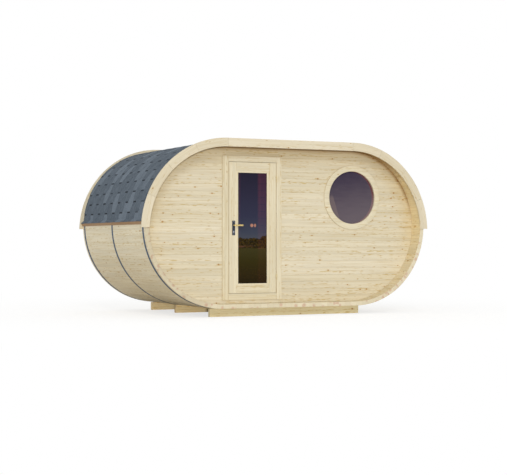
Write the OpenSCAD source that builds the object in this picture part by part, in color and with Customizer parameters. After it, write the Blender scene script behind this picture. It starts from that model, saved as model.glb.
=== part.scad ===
// Oval garden sauna: a lying oval barrel of softwood staves on three beams.
// It has a front wall set back under the stave ends, a glazed door, a round
// window, curved verge boards and a shingle roof down to two eave battens.
// X runs along the front, the front faces -Y, Z is up, millimetres.

/* [Barrel] */
// Width over the staves
barrel_w = 4350; // [4100:10:5200]
// Length of the staves from front to rear
barrel_len = 2500; // [2200:10:3600]
// Outer radius of the two lower corners
lower_r = 1135; // [1100:5:1200]
// Thickness of the lower staves
stave_t = 58; // [50:1:70]
// Thickness of the staves from the eaves up
roof_stave_t = 46; // [34:1:50]

/* [Support beams] */
// Length of a beam
beam_len = 2336; // [1800:4:2600]
// Width of a beam
beam_w = 56; // [40:2:120]
// Height of a beam
beam_h = 116; // [80:2:160]
// From the front stave ends to the front beam
front_beam_setback = 163; // [130:1:400]
// From the middle of the barrel back to the middle of the middle beam
middle_beam_offset = 128; // [60:1:300]
// From the rear stave ends to the rear beam
rear_beam_setback = 174; // [120:1:400]

/* [Tension bands] */
// Width of a steel band
band_w = 46; // [25:1:50]
// Thickness of a steel band
band_t = 1.5; // [1:0.1:3]
// From the stave ends to the middle of the outer bands
band_inset = 75; // [60:1:90]

/* [Walls] */
// Thickness of the front and rear walls
wall_t = 45; // [36:1:58]
// From the front stave ends to the front wall
front_recess = 220; // [160:5:400]
// From the rear stave ends to the rear wall
rear_recess = 100; // [40:5:300]
// Gap between a wall's edge and the staves
wall_fit = 0.5; // [0.3:0.1:1]

/* [Floor] */
// Thickness of the floor boards
deck_t = 28; // [20:1:40]
// Width of a joist
joist_w = 60; // [40:1:90]
// Height of a joist
joist_h = 88; // [60:1:100]
// Number of joists
joist_count = 5; // [3:1:7]
// Gap between the deck and the walls
deck_gap = 6; // [2:1:15]
// Gap between the deck's long edges and the staves
deck_side_gap = 20; // [5:1:60]

/* [Roof] */
// Thickness of the shingle layer
shingle_t = 8; // [5:1:12]
// Height of an eave batten
batten_h = 42; // [30:1:50]
// How far an eave batten's upper edge stands out from the staves
batten_out = 34; // [26:1:44]
// How far its lower edge stands out from the staves
batten_foot_out = 9; // [6:1:24]
// Height of the battens above the centres of the corners
batten_up = 0.5; // [0:0.5:40]
// Height of the shingles' outward kick over the batten
kick_h = 42; // [30:1:90]

/* [Verge boards] */
// Thickness of the verge boards
verge_t = 18; // [14:1:30]
// Width of the verge boards
verge_w = 117; // [108:1:130]
// How far the boards stand out past the roof staves at the sides
verge_side_out = 67; // [60:1:80]
// How far the boards stand out past the roof staves along the top
verge_top_out = 51; // [45:1:65]
// How much larger the boards' corner radius is than that of the roof staves
verge_round = 132; // [120:1:150]
// How far the boards reach down past the battens
verge_down = 41; // [30:1:80]
// Number of boards round one corner
verge_boards = 4; // [3:1:6]
// Open joint between two boards
verge_joint = 0.8; // [0.5:0.1:2]

/* [Doorway] */
// Middle of the doorway, from the middle of the front
door_x = -500; // [-600:5:-480]
// Height of the doorway's bottom above the inside of the staves
door_up = 134; // [124:1:180]
// Height from the doorway's top up to the inside of the roof
over_door = 207; // [150:1:300]
// Thickness of the frame boards
jamb_t = 35; // [25:1:45]
// Depth of the frame boards, front to back
jamb_d = 70; // [60:1:100]
// How far the stop laps behind the leaf
stop_lap = 12; // [8:1:15]
// Width of the casing boards at the top and on the hinge side
casing_w = 78; // [50:1:95]
// Width of the casing board on the handle side
latch_casing_w = 92; // [50:1:110]
// Width of the casing board at the bottom
sill_casing_w = 88; // [50:1:110]
// Thickness of the casing boards
casing_t = 20; // [15:1:30]

/* [Door leaf] */
// Width of the leaf
leaf_w = 723; // [650:1:760]
// Thickness of the leaf
leaf_t = 45; // [40:1:48]
// Gap on the hinge side, above and below the leaf
leaf_gap = 5; // [5:0.5:8]
// Gap on the handle side, which lets the leaf's back edge swing past
latch_gap = 8; // [8:0.5:12]
// How far the leaf's face lies behind the casing's face
leaf_set = 5; // [2:1:10]
// Gap between the leaf's back and the stops
stop_gap = 5; // [5:0.5:8]
// Width of the two stiles
stile_w = 110; // [96:1:130]
// Height of the top rail
top_rail_h = 115; // [100:1:160]
// Height of the bottom rail
bottom_rail_h = 103; // [90:1:200]
// Width of the glazing beads
bead_w = 30; // [18:1:40]
// How far the beads lie behind the leaf's faces
bead_set = 3; // [1:1:6]
// Thickness of the door's pane
pane_t = 8; // [6:1:12]
// Gap round the edges of the door's pane
pane_gap = 2; // [1:0.5:4]

/* [Hinges] */
// Radius of a hinge knuckle
knuckle_r = 7; // [6:0.5:9]
// Height of half a hinge
knuckle_h = 40; // [30:1:55]
// Distance of the hinges from the leaf's ends
hinge_inset = 220; // [150:5:400]
// Gap between the two halves of a hinge
knuckle_gap = 0.5; // [0.3:0.1:1]
// How far the hinge axis stands in front of the casing
hinge_stand = 9; // [9:0.5:12]
// Radius of the hinge pin
pin_r = 3.5; // [3:0.1:4]
// Radius of the stems that screw into the wood
stem_r = 3.5; // [2.5:0.1:4]
// Length of a stem from the hinge axis
stem_len = 34; // [28:1:36]
// Radial play of the pin, the necks and the spindle in what they turn in
play = 0.04; // [0.02:0.01:0.08]

/* [Lock and lever] */
// From the leaf's edge to the spindle
spindle_in = 67; // [60:1:80]
// Height of the middle of the lock plates above the leaf's bottom
plate_up = 897; // [800:1:1000]
// Width of a lock plate
plate_w = 42; // [34:1:50]
// Height of a lock plate
plate_h = 200; // [150:1:240]
// Thickness of a lock plate
plate_t = 6; // [3:0.5:9]
// Height of the spindle above the middle of the plates
lever_up = 36; // [10:1:50]
// How far the lock cylinder lies below the middle of the plates
key_down = 49; // [40:1:60]
// Radius of the lock cylinder
key_r = 9; // [7:0.5:11]
// How far the lock cylinder stands out of a plate
key_out = 2; // [1:0.5:4]
// Radius of the lever's neck
neck_r = 10; // [8:0.5:13]
// Radius of the lever's grip
grip_r = 11.5; // [8:0.5:13]
// Length of the grip from the spindle
grip_len = 127; // [100:1:150]
// How far the grip's axis stands off the leaf
grip_stand = 50; // [40:1:60]
// Radius of the spindle
spindle_r = 5; // [4:0.5:6]
// Radius of the hole in the stile that the spindle goes through
spindle_hole_r = 11; // [9:0.5:14]

/* [Window] */
// Middle of the window, from the middle of the front
window_x = 1088; // [900:1:1200]
// Height of the window's middle above the inside of the staves
window_up = 1481; // [1400:1:1500]
// Radius of the clear opening
window_r = 376; // [300:1:400]
// Thickness of the lining
lining_t = 20; // [16:1:30]
// Width of the trim rings
ring_w = 80; // [60:1:100]
// Thickness of the trim rings
ring_t = 20; // [15:1:28]
// How far the pane lies behind the wall's face
window_pane_set = 6; // [5:1:30]
// Thickness of the window's pane
window_pane_t = 8; // [4:1:12]
// Depth of the rebate round the pane
rebate = 11; // [8:1:14]
// Gap between the lining, the wall and the pane
lining_fit = 0.5; // [0.3:0.1:1]

/* [Hidden] */

// Smoothness of the big curves and of the small round parts
big_fn = 180;
small_fn = 48;
// Overlap that keeps a cut from ending on a face
eps = 1;

// Stave ends, and the centre that the lower and the roof corner of a side share
front_y = -barrel_len / 2;
rear_y = barrel_len / 2;
corner_cx = barrel_w / 2 - lower_r;
corner_cz = beam_h + lower_r;
// Inside of the staves all round, and the outside of the roof staves
inner_r = lower_r - stave_t;
roof_r = inner_r + roof_stave_t;
// Inside faces of the flat bottom and the flat top
inner_floor_z = beam_h + stave_t;
inner_top_z = corner_cz + inner_r;

// Front wall
wall_front_y = front_y + front_recess;
wall_back_y = wall_front_y + wall_t;

// Doorway opening inside the frame boards
open_w = leaf_w + leaf_gap + latch_gap;
open_x0 = door_x - open_w / 2;
open_x1 = open_x0 + open_w;
open_z0 = inner_floor_z + door_up;
open_z1 = inner_top_z - over_door;
jamb_back_y = wall_front_y + jamb_d;
casing_front_y = wall_front_y - casing_t;

// Door leaf at rest
leaf_x0 = open_x0 + latch_gap;
leaf_x1 = leaf_x0 + leaf_w;
leaf_z0 = open_z0 + leaf_gap;
leaf_z1 = open_z1 - leaf_gap;
leaf_front_y = casing_front_y + leaf_set;
leaf_back_y = leaf_front_y + leaf_t;
stop_y = leaf_back_y + stop_gap;
glass_x0 = leaf_x0 + stile_w;
glass_x1 = leaf_x1 - stile_w;
glass_z0 = leaf_z0 + bottom_rail_h;
glass_z1 = leaf_z1 - top_rail_h;
pane_front_y = leaf_front_y + (leaf_t - pane_t) / 2;
pane_back_y = pane_front_y + pane_t;

// Hinge axis, in the middle of the gap
hinge_x = (leaf_x1 + open_x1) / 2;
hinge_y = casing_front_y - hinge_stand;
hinge_zs = [leaf_z0 + hinge_inset, leaf_z1 - hinge_inset];

// Lock and lever
spindle_x = leaf_x0 + spindle_in;
plate_z = leaf_z0 + plate_up;
spindle_z = plate_z + lever_up;

// Window
window_z = inner_floor_z + window_up;
lining_r = window_r + lining_t;
window_pane_y = wall_front_y + window_pane_set;

// Eaves: the battens lie on the lower staves, whose upper edges meet the roof staves there
batten_z0 = corner_cz + batten_up;
batten_z1 = batten_z0 + batten_h;
batten_x1 = barrel_w / 2 + batten_out;
batten_foot_x = barrel_w / 2 + batten_foot_out;
spring_z = batten_z1;
kick_a = asin((batten_z1 + kick_h - corner_cz) / (roof_r + shingle_t));

// Verge boards: corner centre, outer radius and the height of their feet
verge_r = roof_r + verge_round;
verge_cx = corner_cx + verge_side_out - verge_round;
verge_cz = corner_cz + verge_top_out - verge_round;
verge_foot_z = batten_z0 - verge_down;

wood = [0.88, 0.82, 0.69];
shaded_wood = [0.76, 0.68, 0.52];
brown_wood = [0.55, 0.41, 0.29];
slate = [0.36, 0.40, 0.44];
steel = [0.40, 0.43, 0.46];
brass = [0.79, 0.67, 0.42];
glass = [0.20, 0.19, 0.25, 0.6];

// Half width of the barrel at height z, on a corner of radius r
function edge_x(z, r) = corner_cx + sqrt(pow(r, 2) - pow(z - corner_cz, 2));

// Point on a right-hand corner of radius r, at angle a up from the side
function corner_point(r, a) = [corner_cx + r * cos(a), corner_cz + r * sin(a)];

// Right half of an oval with corners of radius r
function half_outline(r, n = 80) = [for (i = [0 : n]) corner_point(r, 180 * i / n - 90)];

// Left half, run the other way round
function mirrored(points) = [for (i = [len(points) - 1 : -1 : 0]) [-points[i][0], points[i][1]]];

function oval_outline(r) = concat(half_outline(r), mirrored(half_outline(r)));

// Box between two corners
module box(low, high) {
    translate(low)
        cube(high - low);
}

// Turns a drawing in XY into one in XZ, standing from y0 back to y1
module upright(y0, y1) {
    translate([0, y1, 0])
        rotate([90, 0, 0])
            linear_extrude(height = y1 - y0)
                children();
}

// Round rod along Y
module rod_y(x, z, r, y0, y1) {
    translate([x, y1, z])
        rotate([90, 0, 0])
            cylinder(r = r, h = y1 - y0, $fn = small_fn);
}

// Curved wall about an axis along Y, from angle a0 up to a1
module arc_wall(cx, cz, r0, r1, a0, a1, y0, y1) {
    translate([cx, y1, cz])
        rotate([90, 0, 0])
            rotate_extrude(angle = a1 - a0, start = a0, $fn = big_fn)
                translate([r0, 0])
                    square([r1 - r0, y1 - y0]);
}

// Copies a shape to both sides of the middle
module both_sides() {
    children();
    mirror([1, 0, 0])
        children();
}

module support_beam(y0) {
    color(shaded_wood)
        box([-beam_len / 2, y0, 0], [beam_len / 2, y0 + beam_w, beam_h]);
}

module beam_front() {
    support_beam(front_y + front_beam_setback);
}

module beam_middle() {
    support_beam(middle_beam_offset - beam_w / 2);
}

module beam_rear() {
    support_beam(rear_y - rear_beam_setback - beam_w);
}

module barrel_floor() {
    color(wood)
        box([-corner_cx, front_y, beam_h], [corner_cx, rear_y, inner_floor_z]);
}

module barrel_ceiling() {
    color(wood)
        box([-corner_cx, front_y, inner_top_z], [corner_cx, rear_y, corner_cz + roof_r]);
}

// Lower corner of the right side, cut level behind the top of the batten
module lower_corner() {
    color(wood)
        intersection() {
            arc_wall(corner_cx, corner_cz, inner_r, lower_r, -90, 90, front_y, rear_y);
            box([0, front_y - eps, 0], [barrel_w, rear_y + eps, spring_z]);
        }
}

// Roof corner of the right side, standing on the lower corner
module roof_corner() {
    color(wood)
        intersection() {
            arc_wall(corner_cx, corner_cz, inner_r, roof_r, 0, 90, front_y, rear_y);
            box([0, front_y - eps, spring_z], [barrel_w, rear_y + eps, corner_cz + 2 * roof_r]);
        }
}

module barrel_lower_right() {
    lower_corner();
}

module barrel_lower_left() {
    mirror([1, 0, 0])
        lower_corner();
}

module barrel_upper_right() {
    roof_corner();
}

module barrel_upper_left() {
    mirror([1, 0, 0])
        roof_corner();
}

// Band under the barrel and up both sides, to just behind the eave battens
module tension_band(y) {
    y0 = y - band_w / 2;
    y1 = y + band_w / 2;
    top_a = asin((batten_z1 - corner_cz) / (lower_r + band_t));
    box([-corner_cx, y0, beam_h - band_t], [corner_cx, y1, beam_h]);
    both_sides()
        arc_wall(corner_cx, corner_cz, lower_r, lower_r + band_t, -90, top_a, y0, y1);
}

module tension_bands() {
    color(steel)
        for (y = band_ys())
            tension_band(y);
}

function band_ys() = [front_y + band_inset, 0, rear_y - band_inset];

// Part of the oval wall between two corners of the XZ plane
module oval_panel(low, high) {
    intersection() {
        polygon(oval_outline(inner_r - wall_fit));
        translate(low)
            square(high - low);
    }
}

module front_wall_left() {
    color(wood)
        upright(wall_front_y, wall_back_y)
            oval_panel([-barrel_w, 0], [open_x0 - jamb_t, 2 * barrel_w]);
}

module front_wall_over_door() {
    color(wood)
        upright(wall_front_y, wall_back_y)
            oval_panel([open_x0 - jamb_t, open_z1 + jamb_t], [open_x1 + jamb_t, 2 * barrel_w]);
}

module front_wall_under_door() {
    color(wood)
        upright(wall_front_y, wall_back_y)
            oval_panel([open_x0 - jamb_t, 0], [open_x1 + jamb_t, open_z0 - jamb_t]);
}

module front_wall_right() {
    color(wood)
        difference() {
            upright(wall_front_y, wall_back_y)
                oval_panel([open_x1 + jamb_t, 0], [barrel_w, 2 * barrel_w]);
            translate([window_x, wall_back_y + eps, window_z])
                rotate([90, 0, 0])
                    cylinder(r = lining_r + lining_fit, h = wall_t + 2 * eps, $fn = big_fn);
        }
}

module rear_wall() {
    color(wood)
        upright(rear_y - rear_recess - wall_t, rear_y - rear_recess)
            polygon(oval_outline(inner_r - wall_fit));
}

// Joists on the flat bottom, from the front wall to the rear wall
module floor_joists() {
    first_x = -corner_cx + joist_w / 2;
    pitch = -2 * first_x / (joist_count - 1);
    color(wood)
        for (i = [0 : joist_count - 1])
            box(
                [first_x + i * pitch - joist_w / 2, deck_y0(), inner_floor_z],
                [first_x + i * pitch + joist_w / 2, deck_y1(), inner_floor_z + joist_h]
            );
}

module floor_boards() {
    z0 = inner_floor_z + joist_h;
    half_w = edge_x(z0, inner_r) - deck_side_gap;
    color(wood)
        box([-half_w, deck_y0(), z0], [half_w, deck_y1(), z0 + deck_t]);
}

function deck_y0() = jamb_back_y + deck_gap;
function deck_y1() = rear_y - rear_recess - wall_t - deck_gap;

// Shingles on the right roof corner, kicked out over the batten
module roof_right() {
    color(slate) {
        arc_wall(corner_cx, corner_cz, roof_r, roof_r + shingle_t, kick_a, 90, front_y, rear_y);
        upright(front_y, rear_y)
            polygon([
                [batten_x1 + shingle_t / 2, batten_z1],
                corner_point(roof_r + shingle_t, kick_a),
                corner_point(roof_r, kick_a),
                [batten_x1 - shingle_t / 2, batten_z1]
            ]);
    }
}

module roof_left() {
    mirror([1, 0, 0])
        roof_right();
}

module roof_top() {
    color(slate)
        box(
            [-corner_cx, front_y, corner_cz + roof_r],
            [corner_cx, rear_y, corner_cz + roof_r + shingle_t]
        );
}

// Tapered batten whose back follows the staves, notched where the bands pass
module eave_batten() {
    difference() {
        upright(front_y, rear_y)
            polygon([
                [edge_x(batten_z0, lower_r) + wall_fit, batten_z0],
                [batten_foot_x, batten_z0],
                [batten_x1, batten_z1],
                [edge_x(batten_z1, lower_r) + wall_fit, batten_z1]
            ]);
        for (y = band_ys())
            box(
                [barrel_w / 2 - batten_out, y - band_w / 2 - wall_fit, batten_z0 - eps],
                [barrel_w / 2 + band_t + wall_fit, y + band_w / 2 + wall_fit, batten_z1 + eps]
            );
    }
}

module eave_battens() {
    color(brown_wood)
        both_sides()
            eave_batten();
}

// One board of the curved verge, number i counted up from the foot
module verge_board(i) {
    step = 90 / verge_boards;
    joint_a = verge_joint / verge_r * 90 / PI;
    first = i == 0;
    intersection() {
        arc_wall(
            verge_cx, verge_cz, verge_r - verge_w, verge_r,
            first ? 0 : i * step + joint_a, (i + 1) * step - joint_a, 0, verge_t
        );
        box([0, -eps, verge_foot_z], [barrel_w, verge_t + eps, verge_cz + 2 * verge_r]);
    }
}

// Curved boards round both roof corners and a straight board along the top
module verge() {
    z1 = verge_cz + verge_r;
    half = verge_cx - verge_joint / 2;
    color(wood) {
        both_sides()
            for (i = [0 : verge_boards - 1])
                verge_board(i);
        box([-half, 0, z1 - verge_w], [half, verge_t, z1]);
    }
}

module verge_front() {
    translate([0, front_y - verge_t, 0])
        verge();
}

module verge_rear() {
    translate([0, rear_y, 0])
        verge();
}

// Upright frame board with its stop, drawn from the doorway's edge at x = 0 outwards
module jamb() {
    lap = leaf_gap + stop_lap;
    box([-jamb_t, wall_front_y, open_z0], [0, jamb_back_y, open_z1]);
    box([0, stop_y, open_z0 + lap], [lap, jamb_back_y, open_z1 - lap]);
}

module door_jamb_left() {
    color(wood)
        translate([open_x0, 0, 0])
            jamb();
}

module door_jamb_right() {
    color(wood)
        translate([open_x1, 0, 0])
            mirror([1, 0, 0])
                jamb();
}

module door_head() {
    lap = leaf_gap + stop_lap;
    color(wood) {
        box([open_x0 - jamb_t, wall_front_y, open_z1], [open_x1 + jamb_t, jamb_back_y, open_z1 + jamb_t]);
        box([open_x0, stop_y, open_z1 - lap], [open_x1, jamb_back_y, open_z1]);
    }
}

module door_sill() {
    lap = leaf_gap + stop_lap;
    color(wood) {
        box([open_x0 - jamb_t, wall_front_y, open_z0 - jamb_t], [open_x1 + jamb_t, jamb_back_y, open_z0]);
        box([open_x0, stop_y, open_z0], [open_x1, jamb_back_y, open_z0 + lap]);
    }
}

// Stem of a hinge half: side is 1 for the frame and -1 for the leaf
module hinge_stem(side, z, grow) {
    start = knuckle_r - 1;
    translate([hinge_x, hinge_y, z])
        rotate([0, 90, side == 1 ? 45 : 135])
            translate([0, 0, start])
                cylinder(r = stem_r + grow, h = stem_len - start + grow, $fn = small_fn);
}

module door_casing_sides() {
    z0 = open_z0 - sill_casing_w;
    z1 = open_z1 + casing_w;
    color(wood) {
        box([open_x0 - latch_casing_w, casing_front_y, z0], [open_x0, wall_front_y, z1]);
        difference() {
            box([open_x1, casing_front_y, z0], [open_x1 + casing_w, wall_front_y, z1]);
            for (z = hinge_zs)
                hinge_stem(1, z - knuckle_h / 2, play);
        }
    }
}

module door_casing_ends() {
    color(wood) {
        box([open_x0, casing_front_y, open_z0 - sill_casing_w], [open_x1, wall_front_y, open_z0]);
        box([open_x0, casing_front_y, open_z1], [open_x1, wall_front_y, open_z1 + casing_w]);
    }
}

// Ring about the window's axis, its section given as [radius, depth] points from the wall's face
module window_ring(points) {
    translate([window_x, wall_front_y, window_z])
        rotate([-90, 0, 0])
            rotate_extrude($fn = big_fn)
                polygon(points);
}

module window_lining() {
    color(wood)
        window_ring([
            [window_r, 0],
            [lining_r, 0],
            [lining_r, wall_t],
            [window_r + rebate, wall_t],
            [window_r + rebate, window_pane_set],
            [window_r, window_pane_set]
        ]);
}

module window_ring_outside() {
    color(wood)
        window_ring([
            [window_r, -ring_t],
            [window_r + ring_w, -ring_t],
            [window_r + ring_w, 0],
            [window_r, 0]
        ]);
}

// Its lip reaches into the lining's rebate and holds the pane
module window_ring_inside() {
    color(wood)
        window_ring([
            [window_r, window_pane_set + window_pane_t],
            [window_r + rebate - lining_fit, window_pane_set + window_pane_t],
            [window_r + rebate - lining_fit, wall_t],
            [window_r + ring_w, wall_t],
            [window_r + ring_w, wall_t + ring_t],
            [window_r, wall_t + ring_t]
        ]);
}

module window_pane() {
    color(glass)
        translate([window_x, window_pane_y + window_pane_t, window_z])
            rotate([90, 0, 0])
                cylinder(r = window_r + rebate - lining_fit, h = window_pane_t, $fn = big_fn);
}

module door_stile_left() {
    color(wood)
        difference() {
            box([leaf_x0, leaf_front_y, leaf_z0], [glass_x0, leaf_back_y, leaf_z1]);
            rod_y(spindle_x, spindle_z, spindle_hole_r, leaf_front_y - eps, leaf_back_y + eps);
        }
}

module door_stile_right() {
    color(wood)
        difference() {
            box([glass_x1, leaf_front_y, leaf_z0], [leaf_x1, leaf_back_y, leaf_z1]);
            for (z = hinge_zs)
                hinge_stem(-1, z + knuckle_h / 2, play);
        }
}

module door_rail_top() {
    color(wood)
        box([glass_x0, leaf_front_y, glass_z1], [glass_x1, leaf_back_y, leaf_z1]);
}

module door_rail_bottom() {
    color(wood)
        box([glass_x0, leaf_front_y, leaf_z0], [glass_x1, leaf_back_y, glass_z0]);
}

// Square frame of beads between two depths
module bead_frame(y0, y1) {
    difference() {
        box([glass_x0, y0, glass_z0], [glass_x1, y1, glass_z1]);
        box(
            [glass_x0 + bead_w, y0 - eps, glass_z0 + bead_w],
            [glass_x1 - bead_w, y1 + eps, glass_z1 - bead_w]
        );
    }
}

module door_beads() {
    color(wood) {
        bead_frame(leaf_front_y + bead_set, pane_front_y);
        bead_frame(pane_back_y, leaf_back_y - bead_set);
    }
}

module door_pane() {
    color(glass)
        box(
            [glass_x0 + pane_gap, pane_front_y, glass_z0 + pane_gap],
            [glass_x1 - pane_gap, pane_back_y, glass_z1 - pane_gap]
        );
}

// Lower halves, with the pins that the leaf's halves drop onto
module hinge_frame_halves() {
    color(steel)
        for (z = hinge_zs) {
            translate([hinge_x, hinge_y, z - knuckle_h])
                cylinder(r = knuckle_r, h = knuckle_h, $fn = small_fn);
            translate([hinge_x, hinge_y, z - eps])
                cylinder(r = pin_r, h = knuckle_h, $fn = small_fn);
            hinge_stem(1, z - knuckle_h / 2, 0);
        }
}

module hinge_leaf_halves() {
    color(steel)
        for (z = hinge_zs)
            difference() {
                union() {
                    translate([hinge_x, hinge_y, z + knuckle_gap])
                        cylinder(r = knuckle_r, h = knuckle_h, $fn = small_fn);
                    hinge_stem(-1, z + knuckle_h / 2, 0);
                }
                translate([hinge_x, hinge_y, z - eps])
                    cylinder(r = pin_r + play, h = knuckle_h + 2 * eps, $fn = small_fn);
            }
}

// Plate with its lock cylinder, on the face of the leaf at y, facing side
module lock_plate(y, side) {
    y0 = min(y, y + side * plate_t);
    y1 = max(y, y + side * plate_t);
    key_y0 = min(y, y + side * (plate_t + key_out));
    key_y1 = max(y, y + side * (plate_t + key_out));
    difference() {
        box(
            [spindle_x - plate_w / 2, y0, plate_z - plate_h / 2],
            [spindle_x + plate_w / 2, y1, plate_z + plate_h / 2]
        );
        rod_y(spindle_x, spindle_z, neck_r + play, y0 - eps, y1 + eps);
    }
    rod_y(spindle_x, plate_z - key_down, key_r, key_y0, key_y1);
}

module lock_plates() {
    color(steel) {
        lock_plate(leaf_front_y, -1);
        lock_plate(leaf_back_y, 1);
    }
}

// Neck and grip on one side of the leaf
module grip(y, side) {
    grip_y = y + side * grip_stand;
    rod_y(spindle_x, spindle_z, neck_r, min(y, grip_y), max(y, grip_y));
    translate([spindle_x, grip_y, spindle_z]) {
        sphere(r = neck_r, $fn = small_fn);
        rotate([0, 90, 0])
            cylinder(r = grip_r, h = grip_len - grip_r, $fn = small_fn);
        translate([grip_len - grip_r, 0, 0])
            sphere(r = grip_r, $fn = small_fn);
    }
}

module door_lever() {
    color(brass) {
        grip(leaf_front_y, -1);
        grip(leaf_back_y, 1);
        rod_y(spindle_x, spindle_z, spindle_r, leaf_front_y - eps, leaf_back_y + eps);
    }
}

beam_front();
beam_middle();
beam_rear();
barrel_floor();
barrel_lower_left();
barrel_lower_right();
barrel_upper_left();
barrel_upper_right();
barrel_ceiling();
tension_bands();
front_wall_left();
front_wall_over_door();
front_wall_under_door();
front_wall_right();
rear_wall();
floor_joists();
floor_boards();
roof_left();
roof_top();
roof_right();
eave_battens();
verge_front();
verge_rear();
door_jamb_left();
door_jamb_right();
door_head();
door_sill();
door_casing_sides();
door_casing_ends();
window_lining();
window_ring_outside();
window_ring_inside();
window_pane();
door_stile_left();
door_stile_right();
door_rail_top();
door_rail_bottom();
door_beads();
door_pane();
hinge_frame_halves();
hinge_leaf_halves();
lock_plates();
door_lever();
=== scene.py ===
import math
import random

import bmesh
import bpy
from bpy.props import FloatProperty, FloatVectorProperty, PointerProperty
from mathutils import Matrix, Vector


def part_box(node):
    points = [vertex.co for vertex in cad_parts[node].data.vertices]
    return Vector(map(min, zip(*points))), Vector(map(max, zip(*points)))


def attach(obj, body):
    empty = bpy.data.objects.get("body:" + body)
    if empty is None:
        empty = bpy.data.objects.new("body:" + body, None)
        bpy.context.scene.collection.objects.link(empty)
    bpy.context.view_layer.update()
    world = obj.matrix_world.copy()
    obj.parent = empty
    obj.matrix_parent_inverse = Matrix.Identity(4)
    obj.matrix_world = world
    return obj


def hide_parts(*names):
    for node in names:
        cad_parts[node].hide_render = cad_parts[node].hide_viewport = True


bl_info = {
    "name": "Oval sauna",
    "version": (1, 0, 0),
    "blender": (4, 5, 0),
    "location": "3D View > Sidebar > Sauna",
    "description": "Dresses the oval sauna's frame in boards, shingles, metal and glass",
    "category": "Object",
}

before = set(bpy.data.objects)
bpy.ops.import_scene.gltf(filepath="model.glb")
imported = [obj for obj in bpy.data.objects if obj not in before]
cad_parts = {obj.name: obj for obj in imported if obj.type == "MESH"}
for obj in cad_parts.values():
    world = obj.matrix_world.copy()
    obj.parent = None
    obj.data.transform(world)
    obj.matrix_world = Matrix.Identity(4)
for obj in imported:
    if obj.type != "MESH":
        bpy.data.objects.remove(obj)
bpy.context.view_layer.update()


def shade(red, green, blue):
    """A colour written as 0 to 255 on screen, as the linear numbers that materials take."""
    linear = []
    for value in (red, green, blue):
        part = value / 255
        linear.append(part / 12.92 if part <= 0.04045 else ((part + 0.055) / 1.055) ** 2.4)
    return tuple(linear)


def ray(degrees, side=1):
    """Direction out from a corner's centre line. The angle counts up from the side, level being 0."""
    angle = math.radians(degrees)
    return Vector((side * math.cos(angle), 0, math.sin(angle)))


def tangent(degrees, side=1):
    """Direction up along a corner's arc, at an angle."""
    angle = math.radians(degrees)
    return Vector((-side * math.sin(angle), 0, math.cos(angle)))


class Corner:
    """Centre line, inner radius and outer radius of one rounded corner on the right-hand side."""

    def __init__(self, x, z, inner, outer):
        self.x = x
        self.z = z
        self.inner = inner
        self.outer = outer

    def angle(self, radius, height):
        """Angle in degrees at which an arc about the centre line crosses a height."""
        return math.degrees(math.asin((height - self.z) / radius))


def barrel_corners():
    """The corners of the lower staves and of the roof staves, which share one centre line."""
    low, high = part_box("barrel_lower_right")
    floor_low, floor_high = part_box("barrel_floor")
    ceiling_low, ceiling_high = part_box("barrel_ceiling")
    outer = high.x - low.x
    inner = outer - (floor_high.z - floor_low.z)
    roof = inner + ceiling_high.z - ceiling_low.z
    centre = low.z + outer
    return Corner(low.x, centre, inner, outer), Corner(low.x, centre, inner, roof)


LOWER, ROOF = barrel_corners()
# Width of a tension band, in metres
BAND_WIDTH = 0.046
FLOOR_LOW, FLOOR_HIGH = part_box("barrel_floor")
FRONT = FLOOR_LOW.y
REAR = FLOOR_HIGH.y
# Height at which the roof staves take over from the lower ones
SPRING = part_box("barrel_lower_right")[1].z
# Directions
RIGHT = (1, 0, 0)
LEFT = (-1, 0, 0)
BACK = (0, 1, 0)
FORWARD = (0, -1, 0)
UP = (0, 0, 1)
DOWN = (0, 0, -1)
# Where a board's grain runs, and the direction across its face
LEVEL = (RIGHT, UP)
UPRIGHT = (UP, RIGHT)
# Points nearer than these distances, in metres, count as one
SAME = 1e-6
NEARLY_SAME = 1e-5
# A hairline that keeps the end of one board clear of the side of another
CLEAR = 0.0003
# Bevels of heavy and trimming boards, of the door leaf and of the verges
BOARD_EDGE = 0.003
LEAF_EDGE = 0.0012
VERGE_EDGE = 0.001
WHITE = (1.0, 1.0, 1.0, 1.0)


# ---------------------------------------------------------------- settings


def length_setting(name, description, default, low, high):
    """A length in metres."""
    return FloatProperty(
        name=name, description=description, default=default, min=low, max=high, unit="LENGTH"
    )


def power_setting(name, description, default):
    """A lamp's power in watts."""
    return FloatProperty(
        name=name, description=description, default=default, min=0.0, max=50000.0, unit="POWER"
    )


def colour_setting(name, description, red, green, blue):
    """A colour, written as 0 to 255 on screen."""
    return FloatVectorProperty(
        name=name, description=description, subtype="COLOR", default=shade(red, green, blue)
    )


class SaunaWood(bpy.types.PropertyGroup):
    """Sizes and colours of the boards"""

    stave_width: length_setting("Stave width", "Width of one stave", 0.095, 0.06, 0.14)
    wall_board: length_setting("Wall board", "Height of one wall board", 0.096, 0.06, 0.2)
    floor_board: length_setting("Floor board", "Width of one floor board", 0.12, 0.06, 0.2)
    joint: length_setting("Joint", "Open joint between boards", 0.0006, 0.0, 0.003)
    edge: length_setting("Edge", "Bevel on a board's edges", 0.0015, 0.0005, 0.004)
    verge_width: length_setting("Verge width", "Width of a verge board", 0.117, 0.1, 0.14)
    verge_radius: length_setting("Verge radius", "Outer radius of the verges' corners", 1.255, 1.2, 1.3)
    wall_colour: colour_setting("Walls", "Colour of the wall boards", 219, 209, 183)
    stave_colour: colour_setting("Staves", "Colour of the staves", 228, 218, 190)
    verge_colour: colour_setting("Verges", "Colour of the verge boards", 216, 205, 179)
    frame_colour: colour_setting("Frames", "Colour of the door, casings and window rings", 221, 211, 183)
    beam_colour: colour_setting("Beams", "Colour of the support beams", 243, 225, 179)
    eave_colour: colour_setting("Eave battens", "Colour of the eave battens", 169, 135, 100)


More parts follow.
